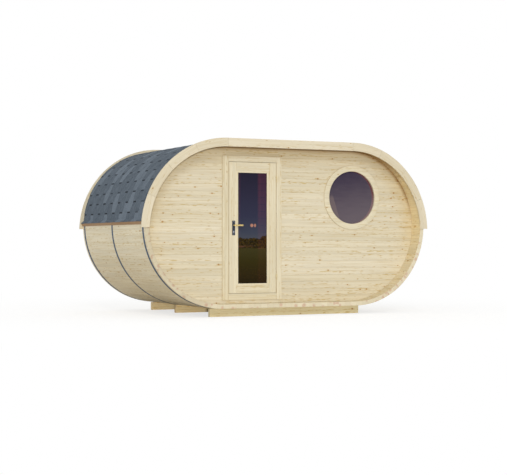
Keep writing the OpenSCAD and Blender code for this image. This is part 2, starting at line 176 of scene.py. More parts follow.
class SaunaRoof(bpy.types.PropertyGroup):
    """Sizes and colours of the shingles"""

    exposure: length_setting("Exposure", "Height of the lowest course", 0.1415, 0.1, 0.25)
    spread: length_setting("Spread", "How much taller each course is than the last one", 0.009, 0.0, 0.02)
    kick: length_setting("Kick", "Height of the straight strip over the battens", 0.042, 0.02, 0.1)
    pitch: length_setting("Tab pitch", "Distance between two tabs", 0.3, 0.2, 0.4)
    tab_foot: length_setting("Tab foot", "Width of a tab's lower edge", 0.115, 0.05, 0.2)
    tab_head: length_setting("Tab head", "Width of a tab at its top", 0.198, 0.1, 0.28)
    colour: colour_setting("Shingles", "Colour of the granules", 88, 98, 108)
    pale: colour_setting("Pale tabs", "Colour of the paler tabs", 122, 133, 144)
    dark: colour_setting("Shadow line", "Colour of the printed shadow lines", 28, 32, 38)


class SaunaMetal(bpy.types.PropertyGroup):
    """Colours of the metal pieces"""

    band: colour_setting("Bands", "Colour of the tension bands", 60, 80, 106)
    hinge: colour_setting("Hinges", "Colour of the hinges", 214, 196, 150)
    plate: colour_setting("Lock plates", "Colour of the lock plates", 44, 52, 68)
    lever: colour_setting("Lever", "Colour of the lever", 236, 211, 142)


class SaunaGlass(bpy.types.PropertyGroup):
    """Tints of the panes, and the colours of the painted reflection on the round pane"""

    opacity: FloatProperty(
        name="Opacity", description="How much of the room the tint hides", default=0.96, min=0.0, max=1.0
    )
    # Colours of the painted reflection at the top and the foot of the round pane
    window_reflection_top: colour_setting("Window, top", "Tint at the top of the round pane", 54, 45, 66)
    window_reflection_foot: colour_setting("Window, foot", "Tint at the foot of the round pane", 102, 92, 99)


class SaunaStage(bpy.types.PropertyGroup):
    """Lamps, floor and camera"""

    sky: FloatProperty(name="Sky", description="Strength of the even light", default=0.66, min=0.0, max=3.0)
    key: power_setting("Key lamp", "Power of the high lamp", 5120.0)
    fill: power_setting("Fill lamp", "Power of the low lamp", 18700.0)
    lens: FloatProperty(
        name="Lens", description="Focal length", default=91.55, min=20.0, max=200.0, unit="CAMERA"
    )


# ---------------------------------------------------------------- boards


def rounded(bm, edges, width, segments):
    """Rounds some edges."""
    bmesh.ops.bevel(
        bm, geom=edges, offset=width, offset_type="OFFSET", affect="EDGES", segments=segments,
        profile=0.5, material=-1, clamp_overlap=True,
    )


def bevel(bm, width, segments=1, angle=0.5):
    """Rounds every edge that is sharper than the angle."""
    sharp = [e for e in bm.edges if len(e.link_faces) == 2 and e.calc_face_angle(0) > angle]
    rounded(bm, sharp, width, segments)


def thicken(bm, vector):
    """Gives flat faces a thickness."""
    made = bmesh.ops.extrude_face_region(bm, geom=bm.faces[:])["geom"]
    bmesh.ops.translate(bm, verts=[v for v in made if isinstance(v, bmesh.types.BMVert)], vec=vector)
    bmesh.ops.recalc_face_normals(bm, faces=bm.faces[:])


def block(low, high):
    """A board between two corners."""
    bm = bmesh.new()
    bmesh.ops.create_cube(bm, size=1)
    bmesh.ops.scale(bm, vec=Vector(high) - Vector(low), verts=bm.verts[:])
    bmesh.ops.translate(bm, vec=(Vector(high) + Vector(low)) / 2, verts=bm.verts[:])
    return bm


def plate(points, thickness):
    """A board cut to an outline."""
    bm = bmesh.new()
    bm.faces.new([bm.verts.new(p) for p in points])
    thicken(bm, thickness)
    return bm


def arc_board(corner, side, start, end, y0, y1, steps=3):
    """A curved board about a corner's centre line. Angles count up from the side in degrees."""
    if side < 0:
        start, end = 180 - end, 180 - start
    bm = bmesh.new()
    centre = Vector((side * corner.x, y0, corner.z))
    verts = [bm.verts.new(centre + ray(start) * radius) for radius in (corner.inner, corner.outer)]
    edge = bm.edges.new(verts)
    bmesh.ops.spin(
        bm, geom=verts + [edge], cent=centre, axis=FORWARD, dvec=(0, 0, 0),
        angle=math.radians(end - start), steps=steps, use_merge=False, use_duplicate=False,
    )
    thicken(bm, Vector((0, y1 - y0, 0)))
    return bm


def cut(bm, point, normal):
    """Takes away what lies beyond a plane, and gives the edges along the cut."""
    found = bmesh.ops.bisect_plane(
        bm, geom=bm.verts[:] + bm.edges[:] + bm.faces[:], plane_co=point, plane_no=normal,
        clear_outer=True, clear_inner=False, dist=SAME,
    )
    return [e for e in found["geom_cut"] if isinstance(e, bmesh.types.BMEdge)]


def lathe(profile, start, axis, steps=32, closed=False):
    """A turned piece: the profile gives the distance along the axis and the radius."""
    bm = bmesh.new()
    axis = Vector(axis).normalized()
    across = axis.orthogonal().normalized()
    start = Vector(start)
    verts = [bm.verts.new(start + axis * along + across * radius) for along, radius in profile]
    pairs = list(zip(verts, verts[1:] + verts[:1] if closed else verts[1:]))
    edges = [bm.edges.new(pair) for pair in pairs]
    bmesh.ops.spin(
        bm, geom=verts + edges, cent=start, axis=axis, dvec=(0, 0, 0), angle=math.tau, steps=steps,
        use_merge=True, use_duplicate=False,
    )
    bmesh.ops.remove_doubles(bm, verts=bm.verts[:], dist=SAME)
    bmesh.ops.recalc_face_normals(bm, faces=bm.faces[:])
    return bm


def show(bm, name, material, body, nodes, smooth=0.0):
    """Turns a finished bmesh into a piece that rides on a body and stands for its nodes."""
    mesh = bpy.data.meshes.new(name)
    bm.to_mesh(mesh)
    bm.free()
    if smooth:
        mesh.shade_smooth()
        mesh.set_sharp_from_angle(angle=smooth)
    mesh.materials.append(material)
    piece = bpy.data.objects.new(name, mesh)
    bpy.context.scene.collection.objects.link(piece)
    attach(piece, body)
    if nodes:
        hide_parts(*nodes)


def join(*parts):
    """Several solids as one bmesh."""
    whole = bmesh.new()
    mesh = bpy.data.meshes.new("part")
    for part in parts:
        part.to_mesh(mesh)
        part.free()
        whole.from_mesh(mesh)
    bpy.data.meshes.remove(mesh)
    return whole


class Timber:
    """The boards of one piece. Each board keeps its own grain, laid in the UV map, and its own tone."""

    # How squarely a face must look along the board to count as its sawn end
    END = 0.7
    # In the UV map: how far a board's narrow sides lie from its face, and boards from each other at most
    ASIDE = 0.35
    SPREAD = 40

    def __init__(self, name, seed):
        self.name = name
        self.bm = bmesh.new()
        self.grain = self.bm.loops.layers.uv.new("grain")
        self.tone = self.bm.faces.layers.float.new("board_tone")
        self.end = self.bm.faces.layers.float.new("end_grain")
        self.random = random.Random(seed)

    def add(self, board, along, across, edge=None, segments=1):
        """Rounds a board's edges and lays its grain: along the board, and across its face."""
        wood = bpy.context.scene.sauna_wood
        bevel(board, wood.edge if edge is None else edge, segments)
        bmesh.ops.recalc_face_normals(board, faces=board.faces[:])
        along = Vector(along).normalized()
        across = Vector(across)
        across = (across - along * across.dot(along)).normalized()
        thick = along.cross(across)
        middle = sum((v.co for v in board.verts), Vector()) / len(board.verts)
        tone = self.random.random()
        shift = Vector([self.random.uniform(0, self.SPREAD) for _ in range(2)])
        verts = {v: self.bm.verts.new(v.co) for v in board.verts}
        for source in board.faces:
            face = self.bm.faces.new([verts[v] for v in source.verts])
            normal = source.normal
            face[self.tone] = tone
            cut_end = abs(normal.dot(along)) > self.END
            face[self.end] = 1.0 if cut_end else 0.0
            flat = abs(normal.dot(thick)) >= abs(normal.dot(across))
            for loop in face.loops:
                place = loop.vert.co - middle
                if cut_end:
                    u, v = place.dot(across), place.dot(thick)
                elif flat:
                    u, v = place.dot(along), place.dot(across)
                else:
                    u, v = place.dot(along), place.dot(thick) + self.ASIDE
                loop[self.grain].uv = (u + shift.x, v + shift.y)
        board.free()

    def show(self, material, body, slot, *nodes):
        """Turns the boards into a piece."""
        show(self.bm, self.name, material, body, nodes)


# ---------------------------------------------------------------- finishes


class Value:
    """A number in a material. Sums on it become Math nodes."""

    def __init__(self, finish, socket):
        self.finish = finish
        self.socket = socket

    def math(self, operation, *others):
        return self.finish.calculate(operation, self, *others)

    def __add__(self, other):
        return self.math("ADD", other)

    def __radd__(self, other):
        return self.math("ADD", other)

    def __sub__(self, other):
        return self.math("SUBTRACT", other)

    def __rsub__(self, other):
        return self.finish.calculate("SUBTRACT", other, self)

    def __mul__(self, other):
        return self.math("MULTIPLY", other)

    def __truediv__(self, other):
        return self.math("DIVIDE", other)

    def __pow__(self, other):
        return self.math("POWER", other)

    def __gt__(self, other):
        return self.math("GREATER_THAN", other)

    def __lt__(self, other):
        return self.math("LESS_THAN", other)

    def __abs__(self):
        return self.math("ABSOLUTE")

    def ramp(self, low, high):
        """0 at low and 1 at high, smoothly. Low may be the larger."""
        node = self.finish.node(
            "ShaderNodeMapRange", {"interpolation_type": "SMOOTHSTEP"},
            {"Value": self, "From Min": low, "From Max": high},
        )
        return Value(self.finish, node.outputs["Result"])


class Finish:
    """One material and the nodes that make it."""

    def __init__(self, name):
        self.material = bpy.data.materials.new(name)
        self.material.use_nodes = True
        self.tree = self.material.node_tree
        self.tree.nodes.clear()
        self.output = self.node("ShaderNodeOutputMaterial")

    def node(self, kind, settings=None, sockets=None):
        """Adds a node: its settings first, then the values or links of its sockets."""
        node = self.tree.nodes.new(kind)
        for name, setting in (settings or {}).items():
            setattr(node, name, setting)
        for key, value in (sockets or {}).items():
            if isinstance(value, Value):
                value = value.socket
            if isinstance(value, bpy.types.NodeSocket):
                self.tree.links.new(value, node.inputs[key])
            else:
                node.inputs[key].default_value = value
        return node

    def shader(self, kind, **sockets):
        """A shader's output. Names of sockets are written with underscores."""
        named = {name.replace("_", " "): value for name, value in sockets.items()}
        return self.node(kind, None, named).outputs[0]

    def show(self, shader):
        """Gives the material its shader."""
        self.tree.links.new(shader, self.output.inputs["Surface"])
        return self.material

    def surface(self, **sockets):
        return self.show(self.shader("ShaderNodeBsdfPrincipled", **sockets))

    def calculate(self, operation, *numbers):
        node = self.node("ShaderNodeMath", {"operation": operation}, dict(enumerate(numbers)))
        return Value(self, node.outputs[0])

    def mix(self, factor, a, b, blend="MIX"):
        """A mix of two colours."""
        a = (*a, 1.0) if isinstance(a, tuple) and len(a) == 3 else a
        b = (*b, 1.0) if isinstance(b, tuple) and len(b) == 3 else b
        settings = {"data_type": "RGBA", "blend_type": blend, "clamp_factor": True}
        node = self.node("ShaderNodeMix", settings, {0: factor, 6: a, 7: b})
        return node.outputs[2]

    def tinted(self, base, tint):
        """A colour multiplied by a tint."""
        return self.mix(1.0, base, tint, "MULTIPLY")

    def partly_tinted(self, base, amount, tint):
        """A colour multiplied by a tint, by as much as the amount."""
        return self.mix(amount, base, self.tinted(base, tint))

    def gradient(self, position, *stops):
        """Colours along a value from 0 to 1. Each stop is a position and a screen colour."""
        node = self.node("ShaderNodeValToRGB", None, {0: position})
        ramp = node.color_ramp
        while len(ramp.elements) < len(stops):
            ramp.elements.new(1.0)
        for element, (stop, colour) in zip(ramp.elements, stops):
            element.position = stop
            element.color = (*shade(*colour), 1.0)
        return node.outputs[0]

    def place(self):
        """Where a point is on the piece, in metres: x, y and z."""
        return self.split(self.node("ShaderNodeTexCoord").outputs["Object"])

    def split(self, vector):
        node = self.node("ShaderNodeSeparateXYZ", None, {0: vector})
        return tuple(Value(self, output) for output in node.outputs)

    def vector(self, x=0.0, y=0.0, z=0.0):
        return self.node("ShaderNodeCombineXYZ", None, {0: x, 1: y, 2: z}).outputs[0]

    def laid(self, name):
        """Two distances on a piece, from one of its UV maps."""
        node = self.node("ShaderNodeUVMap", {"uv_map": name})
        return self.split(node.outputs[0])[:2]

    def attribute(self, name):
        node = self.node("ShaderNodeAttribute", {"attribute_name": name})
        return Value(self, node.outputs["Fac"])

    def noise(self, place, scale, detail=3.0, roughness=0.55, distortion=0.0):
        """Soft noise between 0 and 1 at a place given by one to three numbers."""
        sockets = {
            "Vector": self.vector(*place), "Scale": scale, "Detail": detail, "Roughness": roughness,
            "Distortion": distortion,
        }
        node = self.node("ShaderNodeTexNoise", None, sockets)
        return Value(self, node.outputs["Fac"])

    def cells(self, place, scale):
        """Scattered points: the distance to the nearest, where it is, and three numbers of its own."""
        sockets = {"Vector": self.vector(*place), "Scale": scale, "Randomness": 1.0}
        node = self.node("ShaderNodeTexVoronoi", {"voronoi_dimensions": "2D", "feature": "F1"}, sockets)
        numbers = self.node("ShaderNodeSeparateColor", None, {0: node.outputs["Color"]})
        own = tuple(Value(self, output) for output in numbers.outputs)
        return Value(self, node.outputs["Distance"]), node.outputs["Position"], own

    def bump(self, height, strength, distance):
        sockets = {"Strength": strength, "Distance": distance, "Height": height}
        return self.node("ShaderNodeBump", None, sockets).outputs[0]


def scaled(colour, factor):
    """A colour made lighter or darker."""
    return tuple(min(1.0, part * factor) for part in colour)


def toned(colour, factors):
    """A colour with factors on its red, green and blue."""
    return tuple(part * factor for part, factor in zip(colour, factors))


# Factors on a wood's red, green and blue
# Painted light: the middle and rear beams, which stand in shade under the building, are made lighter than
# the front one
BEAM_PAINTED_LIGHT = ((0.94, 0.97, 1.0), (1.07, 1.0, 0.9), (1.15, 1.08, 1.06))
LATE_WOOD = (0.88, 0.81, 0.68)
LATE_WOOD_ENDS = (0.88, 0.83, 0.77)
RESIN = (0.79, 0.66, 0.40)
BOARD_TINTS = ((1.03, 1.03, 1.045), (0.955, 0.945, 0.92))
# Painted shade on the staves' inner faces: at the foot, the middle and the top of the recess
LINING_SHADES = ((0.96, 0.93, 0.87), (1.06, 0.98, 0.80), (0.54, 0.37, 0.20))
CLADDING_TINTS = ((1.03, 1.03, 1.03), (0.99, 0.95, 0.90))
# Painted shadow beside the tension bands
BAND_SHADE = (0.42, 0.42, 0.42)
# Painted shade on the walls: warmer and darker near the barrel's inner face, darker still in the corner
# under the ceiling
WALL_RIM_SHADE = (0.96, 0.90, 0.775)
WALL_CORNER_SHADE = (0.58, 0.44, 0.30)
# Painted warm light on the faces inside the gap round the door leaf
GAP_WARM_LIGHT = (1.05, 0.96, 0.82)
DARKER_LEFT_ENDS = (0.85, 0.83, 0.80)
# Wood colours of their own
KNOT = shade(178, 132, 78)
KNOT_HEART = shade(112, 72, 38)
BLUSH = shade(198, 154, 130)
# Radius of the smallest knots and how much larger the largest are, in metres
SMALLEST_KNOT = 0.0045
KNOT_SPREAD = 0.0085
# Depth inside the staves' inner face, as a share of its radius, from which a stave's face counts as inside
INNER_FACE = -0.003
# How far the painted shadow reaches beside a tension band, in metres
BAND_SHADE_REACH = 0.022


def pine(name, colour, along=None, knots=0.45, streaks=1.0, contrast=1.0, barrel=None, gap=None):
    """Planed softwood. Boards with a UV map carry their own grain, and other pieces name its axis.

    Knots gives the share of knots that show, barrel lays painted shade on the walls or the staves, and gap
    gives the front and back of the gap round the door leaf, whose inner faces get a warm painted light."""
    finish = Finish(name)
    if along is None:
        u, v = finish.laid("grain")
        tone = finish.attribute("board_tone")
    else:
        x, y, z = finish.place()
        u, v = {"X": (x, z + y * 0.7), "Y": (y, x + z * 0.7), "Z": (z, x + y * 0.7)}[along]
        tone = finish.noise((v * 3.0,), 3.0, 0.0)
    # Slow changes of tone, lines of late wood, and fine lines between them
    broad = finish.noise((u * 0.7, v * 14.0), 1.0, 2.0, 0.5, 0.3)
    lines = finish.noise((u * 1.3, v * 62.0), 1.0, 3.0, 0.6, 0.25)
    fine = finish.noise((u * 2.5, v * 300.0), 1.0, 3.0, 0.6)
    # Resin in short dashes, more of it on some lines than on others
    dash = finish.noise((u * 11.0 + 7.3, v * 75.0), 1.0, 1.0, 0.5, 0.3)
    rich = finish.noise((u * 0.6, v * 30.0 + 3.1), 1.0, 1.0)
    resinous = (dash + rich * 0.8).ramp(1.01, 1.16) * streaks
    knot, heart, flare = knotted(finish, u, v, lines, knots)
    deep = toned(colour, LATE_WOOD)
    resin = toned(colour, RESIN)
    base = finish.mix(broad.ramp(0.35, 0.68) * contrast, scaled(colour, 1.05), scaled(colour, 0.95))
    base = finish.mix(lines.ramp(0.46, 0.72) * 0.9 * contrast, base, deep)
    base = finish.mix(lines.ramp(0.42, 0.28) * 0.5 * contrast, base, scaled(colour, 1.09))
    base = finish.mix(fine.ramp(0.5, 0.8) * 0.4 * contrast, base, deep)
    base = finish.mix(resinous * 0.85, base, resin)
    base = finish.mix(flare * 0.4, base, resin)
    base = finish.mix(knot * 0.85, base, KNOT)
    base = finish.mix(heart * 0.8, base, KNOT_HEART)
    base = finish.tinted(base, finish.mix(tone, *BOARD_TINTS))
    # Painted shade of the walls or the staves
    if barrel:
        base = painted_shade_and_tints(finish, base, barrel)
    # Painted warm light on the faces inside the gap round the door leaf
    if gap:
        front, back = gap
        y = finish.place()[1]
        edges = y.ramp(front + 0.0004, front + 0.0018) * y.ramp(back - 0.0004, back - 0.0018)
        base = finish.partly_tinted(base, edges, GAP_WARM_LIGHT)
    if along is None:
        base = sawn_ends(finish, base, colour, u, v, tone, barrel)
    relief = fine * 0.5 + lines * 0.5 - knot * 0.4
    rough = fine * 0.12 + 0.5 + knot * -0.1
    return finish.surface(
        Base_Color=base, Roughness=rough, Specular_IOR_Level=0.2, Normal=finish.bump(relief, 0.2, 0.0006)
    )


def knotted(finish, u, v, lines, share):
    """How much of a point is knot, the dark heart of one, and darker grain beside one along the board."""
    _, point, own = finish.cells((u, v), 6.0)
    across, up = finish.split(point)[:2]
    du = u - across
    dv = v - up
    chosen = own[0] < share
    size = own[1] * own[1] * KNOT_SPREAD + SMALLEST_KNOT
    away, round_away, long_away = ((du * du * part + dv * dv) ** 0.5 / size for part in (0.6, 1.0, 0.06))
    knot = (away * (lines * 0.5 + 0.75)).ramp(1.25, 0.7) * chosen
    heart = round_away.ramp(0.75, 0.2) * chosen * own[2]
    flare = long_away.ramp(1.7, 0.4) * chosen
    return knot, heart, flare


def painted_shade_and_tints(finish, base, barrel):
    """Painted shade on the walls and on the staves' inner faces, by how high a point is and how near the
    barrel's inner face, painted shadow beside the tension bands, and a warmer foot on the staves' outer
    side.
    """
    x, y, z = finish.place()
    aside = (abs(x) - LOWER.x).math("MAXIMUM", 0.0)
    rise = (z - LOWER.z) / LOWER.inner
    depth = 1.0 - ((aside / LOWER.inner) ** 2.0 + rise * rise) ** 0.5
    if barrel == "wall":
        # Painted shade: the walls grow warmer and darker near the barrel's inner face, and darker still in
        # the corner under the ceiling
        base = finish.partly_tinted(base, depth.ramp(0.3, 0.0) * rise.ramp(-0.6, 0.2), WALL_RIM_SHADE)
        return finish.partly_tinted(base, depth.ramp(0.055, 0.0) * rise.ramp(0.0, 0.5), WALL_CORNER_SHADE)
    # Painted shade on the staves' inner faces, darker and warmer towards the top of the recess
    foot, middle, top = LINING_SHADES
    lining = finish.mix(rise.ramp(-0.6, 0.1), foot, middle)
    lining = finish.mix(rise.ramp(0.5, 1.0), lining, top)
    # Elsewhere the staves are a little warmer towards the bottom
    cladding = finish.mix(rise.ramp(0.0, -1.0), *CLADDING_TINTS)
    # Painted shadow beside the tension bands, stronger low down
    half = BAND_WIDTH / 2
    run = abs(y)
    beside = run.math("MINIMUM", abs(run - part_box("tension_bands")[1].y + half))
    band_shaded = beside.ramp(half + BAND_SHADE_REACH, half) * rise.ramp(0.3, -0.8)
    cladding = finish.partly_tinted(cladding, band_shaded, BAND_SHADE)
    inside = depth > INNER_FACE
    return finish.tinted(base, finish.mix(inside, cladding, lining))


def sawn_ends(finish, base, colour, u, v, tone, barrel):
    """Growth rings and reddish spots on the boards' sawn ends."""
    wide = finish.noise((u * 14.0, v * 14.0), 1.0, 2.0)
    growth = ((v + wide * 0.006) * 1500.0).math("SINE")
    sawn = finish.mix(growth * 0.5 + 0.5, scaled(colour, 0.90), toned(colour, LATE_WOOD_ENDS))
    sawn = finish.mix(tone * 0.6, sawn, scaled(colour, 1.04))
    spot, _, own = finish.cells((u, v), 11.0)
    blush = spot.ramp(0.42, 0.1) * (own[0] < 0.6)
    sawn = finish.mix(blush * 0.6, sawn, BLUSH)
    if barrel == "staves":
        # The stave ends are darker at the left
        x = finish.place()[0]
        sawn = finish.partly_tinted(sawn, x.ramp(-LOWER.x, -LOWER.x - 0.5), DARKER_LEFT_ENDS)
    return finish.mix(finish.attribute("end_grain"), base, sawn)


def bitumen(name, roof):
    """Mineral granules on bitumen, with paler tabs and a dark line under each tab's foot."""
    finish = Finish(name)
    u, v = finish.laid("course")
    tone = finish.attribute("tab_tone")
    grit = finish.noise((u, v), 420.0, 2.0, 0.7)
    speck = finish.noise((u, v), 160.0, 2.0, 0.6)
    cloud = finish.noise((u, v), 6.0, 3.0, 0.6)
    patch = finish.noise((u * 22.0, v * 14.0), 1.0, 2.0, 0.6)
    pale = tuple(roof.pale)
    base = finish.mix(cloud.ramp(0.3, 0.7), scaled(roof.colour, 0.9), scaled(roof.colour, 1.08))
    base = finish.mix(patch.ramp(0.4, 0.75) * 0.35, base, pale)
    base = finish.mix(tone * patch.ramp(0.1, 0.5), base, pale)
    base = finish.mix(grit.ramp(0.52, 0.72) * 0.55, base, scaled(roof.colour, 1.9))
    base = finish.mix(speck.ramp(0.5, 0.34) * 0.4, base, scaled(roof.colour, 0.45))
    base = finish.mix(finish.attribute("shadow_line"), base, tuple(roof.dark))
    return finish.surface(
        Base_Color=base, Roughness=0.9, Specular_IOR_Level=0.2, Normal=finish.bump(grit + speck, 0.5, 0.0015)
    )


def zinc(name, colour, rough=0.42, metallic=0.75):
    """Dull zinc or steel with fine scratches and slight clouding."""
    finish = Finish(name)
    x, y, z = finish.place()
    cloud = finish.noise((x, y, z), 14.0, 4.0)
    lines = finish.noise((x * 8.0, y * 40.0, z * 8.0), 1.0, 3.0)
    base = finish.mix(cloud.ramp(0.3, 0.75), scaled(colour, 0.86), scaled(colour, 1.12))
    base = finish.mix(lines.ramp(0.5, 0.8) * 0.3, base, scaled(colour, 1.3))
    return finish.surface(
        Base_Color=base, Metallic=metallic, Roughness=cloud * 0.25 + rough,
        Normal=finish.bump(lines, 0.12, 0.0003),
    )


def brass(name, colour):
    """Polished brass with faint wear."""
    finish = Finish(name)
    x, y, z = finish.place()
    wear = finish.noise((x, y, z), 60.0, 4.0, 0.6)
    fine = finish.noise((x * 40.0, y * 900.0, z * 900.0), 1.0, 2.0)
    base = finish.mix(wear.ramp(0.35, 0.7), scaled(colour, 0.9), scaled(colour, 1.08))
    return finish.surface(
        Base_Color=base, Metallic=0.7, Roughness=wear * 0.18 + 0.2, Normal=finish.bump(fine, 0.05, 0.0002)
    )


def lacquer(name, colour):
    """Satin powder coat on the lock plates."""
    finish = Finish(name)
    x, y, z = finish.place()
    peel = finish.noise((x, y, z), 900.0, 2.0)
    cloud = finish.noise((x, y, z), 30.0, 3.0)
    base = finish.mix(cloud.ramp(0.35, 0.7), scaled(colour, 0.85), scaled(colour, 1.15))
    return finish.surface(
        Base_Color=base, Metallic=0.3, Roughness=cloud * 0.1 + 0.32, Normal=finish.bump(peel, 0.08, 0.0002)
    )


def pane(finish, base, glass):
    """The surface of a tinted pane."""
    return finish.surface(
        Base_Color=base, Roughness=0.04, Specular_IOR_Level=0.1, Alpha=glass.opacity, IOR=1.45
    )


# What the painted reflection and the painted view through the door's pane show, as shares of its height
TREE_TOPS = 0.372
TREE_FEET = 0.322
VILLAGE_ABOVE_FEET = 0.010
LAMP_HEIGHT = 0.524
# The painted glow of the lamp and its second image: place as a share of the pane's width, narrowness and
# strength
LAMPS = ((0.488, 1.0, 1.0), (0.587, 1.45, 0.9))
LAMP_RADIUS = 0.026


def door_glass(name, glass, low, high):
    """Tinted pane with a painted reflection of a dusk sky over trees and grass, and a painted view of the
    dim room behind it.
    """
    finish = Finish(name)
    x, _, z = finish.place()
    height = (z - low.z) / (high.z - low.z)
    across = (x - low.x) / (high.x - low.x)
    edge = finish.noise((x * 9.0, z * 2.0), 1.0, 5.0, 0.7)
    leaves = finish.noise((x, z), 26.0, 4.0, 0.7)
    roofs = finish.noise((x * 8.0, z * 18.0), 1.0, 1.0)
    crowns = finish.noise((x * 14.0,), 1.0, 2.0, 0.6)
    sky = finish.gradient(
        height, (0.38, (70, 73, 82)), (0.47, (57, 62, 78)), (0.6, (47, 48, 69)), (0.8, (40, 38, 58)),
        (1.0, (31, 27, 45)),
    )
    grass = finish.gradient(
        height, (0.0, (34, 25, 6)), (0.1, (44, 34, 8)), (0.24, (50, 44, 10)), (0.33, (56, 51, 18))
    )
    wood = finish.mix(leaves.ramp(0.38, 0.68), shade(26, 18, 0), shade(64, 48, 7))
    treetop = TREE_TOPS + edge * 0.03 + crowns * 0.05 + across.ramp(0.7, 0.9) * 0.022
    above = (height - treetop).ramp(-0.003, 0.003)
    treefoot = TREE_FEET + edge * 0.006
    under = (treefoot - height).ramp(-0.004, 0.004)
    village = abs(height - treefoot - VILLAGE_ABOVE_FEET).ramp(0.018, 0.006) * roofs.ramp(0.5, 0.64)
    base = finish.mix(above, wood, sky)
    base = finish.mix(under, base, grass)
    base = finish.mix(village * 0.45, base, shade(108, 70, 52))
    # Painted view of the frame's inner faces through the pane at both sides
    right = across.ramp(0.665, 0.675)
    line = abs(across - 0.735).ramp(0.022, 0.006)
    left = abs(across - 0.113).ramp(0.034, 0.012)
    boards = abs((z / 0.096).math("FRACT") - 0.5).ramp(0.5, 0.42)
    fade = height.ramp(0.15, 0.95) * 0.8 + 0.2
    warm = finish.mix(boards, shade(24, 0, 0), shade(50, 12, 16))
    base = finish.mix(right * fade, base, warm, "ADD")
    base = finish.mix((line * 0.5 + left * 0.6) * fade, base, shade(52, 16, 18), "ADD")
    # Painted glow of a small lamp in the room and of its second image
    for middle, narrow, strength in LAMPS:
        up = (height - LAMP_HEIGHT) * (high.z - low.z)
        aside = (across - middle) * (high.x - low.x) * narrow
        glow = ((aside * aside + up * up) ** 0.5 / LAMP_RADIUS).ramp(1.15, 0.6) * strength
        base = finish.mix(glow * 0.85, base, shade(190, 133, 108))
    return pane(finish, base, glass)


# The round pane, in metres: how far to the left the painted image of the lining's far rim is seen, and how
# far inside its edge
RIM_SHIFT = 0.030
RIM_INSIDE = 0.012
# Where the paler wedge painted into the reflection at the left starts, from the middle
WEDGE_START = 0.295


def window_glass(name, glass, low, high):
    """Tinted pane with a painted reflection of the sky, and a painted view of the lining's inner face behind
    it at the right.
    """
    finish = Finish(name)
    x, _, z = finish.place()
    height = (z - low.z) / (high.z - low.z)
    side = (x - low.x) / (high.x - low.x)
    cloud = finish.noise((x, z * 5.0), 4.0, 3.0)
    # Painted reflection of the sky, darker at the top and at the left
    level = 1.0 - height + side * 0.2 + (cloud - 0.5) * 0.3
    base = finish.mix(level.ramp(-0.1, 1.15), tuple(glass.window_reflection_top), tuple(glass.window_reflection_foot))
    middle = (low + high) / 2
    right = x - middle.x
    up = z - middle.z
    # A paler wedge painted into the reflection at the lower left
    wedge = (right + up * 0.33 + WEDGE_START).ramp(0.004, -0.004) * up.ramp(0.06, -0.02)
    base = finish.mix(wedge * 0.45, base, shade(128, 112, 108))
    # Painted view of the lining's far rim through the pane at the right
    aside = right + RIM_SHIFT
    behind = (aside * aside + up * up) ** 0.5
    rim = (behind - (high.x - low.x) / 2 + RIM_INSIDE).ramp(-0.006, 0.006)
    inner = finish.mix(up.ramp(0.1, -0.1), shade(112, 62, 62), shade(140, 112, 112))
    base = finish.mix(rim * 0.7, base, inner)
    return pane(finish, base, glass)


def dress(node, material):
    """Gives a CAD node its material."""
    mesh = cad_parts[node].data
    mesh.materials.clear()
    mesh.materials.append(material)


# ---------------------------------------------------------------- pieces


class SAUNA_OT_beams(bpy.types.Operator):
    """Support beams with sawn ends"""

    bl_idname = "sauna.beams"
    bl_label = "Support beams"

    def execute(self, context):
        colour = context.scene.sauna_wood.beam_colour
        for seed, node in enumerate(("beam_front", "beam_middle", "beam_rear")):
            # Each beam gets its own painted light, the middle and rear ones lighter against the shade under
            # the building
            wood = pine(node + "_pine", toned(colour, BEAM_PAINTED_LIGHT[seed]), knots=0.35)
            timber = Timber(node + "_timber", seed)
            low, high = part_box(node)
            timber.add(block(low, high), *LEVEL, BOARD_EDGE)
            timber.show(wood, "building", "beams", node)
        return {"FINISHED"}


class SAUNA_OT_staves(bpy.types.Operator):
    """Staves of the barrel, flat and curved"""

    bl_idname = "sauna.staves"
    bl_label = "Staves"

    def execute(self, context):
        settings = context.scene.sauna_wood
        # The staves get painted shade on their inner faces and beside the tension bands
        wood = pine("stave_pine", settings.stave_colour, knots=0.3, barrel="staves")
        self.flat(wood, settings, "barrel_floor", 11)
        self.flat(wood, settings, "barrel_ceiling", 12)
        lower_end = LOWER.angle(LOWER.outer, SPRING)
        roof_start = ROOF.angle(ROOF.outer, SPRING)
        for side, word in ((1, "right"), (-1, "left")):
            self.curved(wood, settings, LOWER, side, "barrel_lower_" + word, -90, lower_end)
            self.curved(wood, settings, ROOF, side, "barrel_upper_" + word, roof_start, 90)
        return {"FINISHED"}

    def flat(self, wood, settings, node, seed):
        low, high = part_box(node)
        count = round((high.x - low.x) / settings.stave_width)
        width = (high.x - low.x) / count
        timber = Timber(node + "_staves", seed)
        for i in range(count):
            x = low.x + i * width
            gap = settings.joint / 2
            board = block((x + gap, low.y, low.z), (x + width - gap, high.y, high.z))
            timber.add(board, BACK, RIGHT)
        timber.show(wood, "building", "staves", node)

    def curved(self, wood, settings, corner, side, node, start, end):
        count = round(math.radians(end - start) * corner.outer / settings.stave_width)
        step = (end - start) / count
        gap = math.degrees(settings.joint / corner.outer) / 2
        seed = side * 7 + (20 if start < 0 else 40)
        timber = Timber(node + "_staves", seed)
        for i in range(count):
            first = start + i * step
            board = arc_board(corner, side, first + gap, first + step - gap, FRONT, REAR)
            timber.add(board, BACK, tangent(first + step / 2, side))
        timber.show(wood, "building", "staves", node)


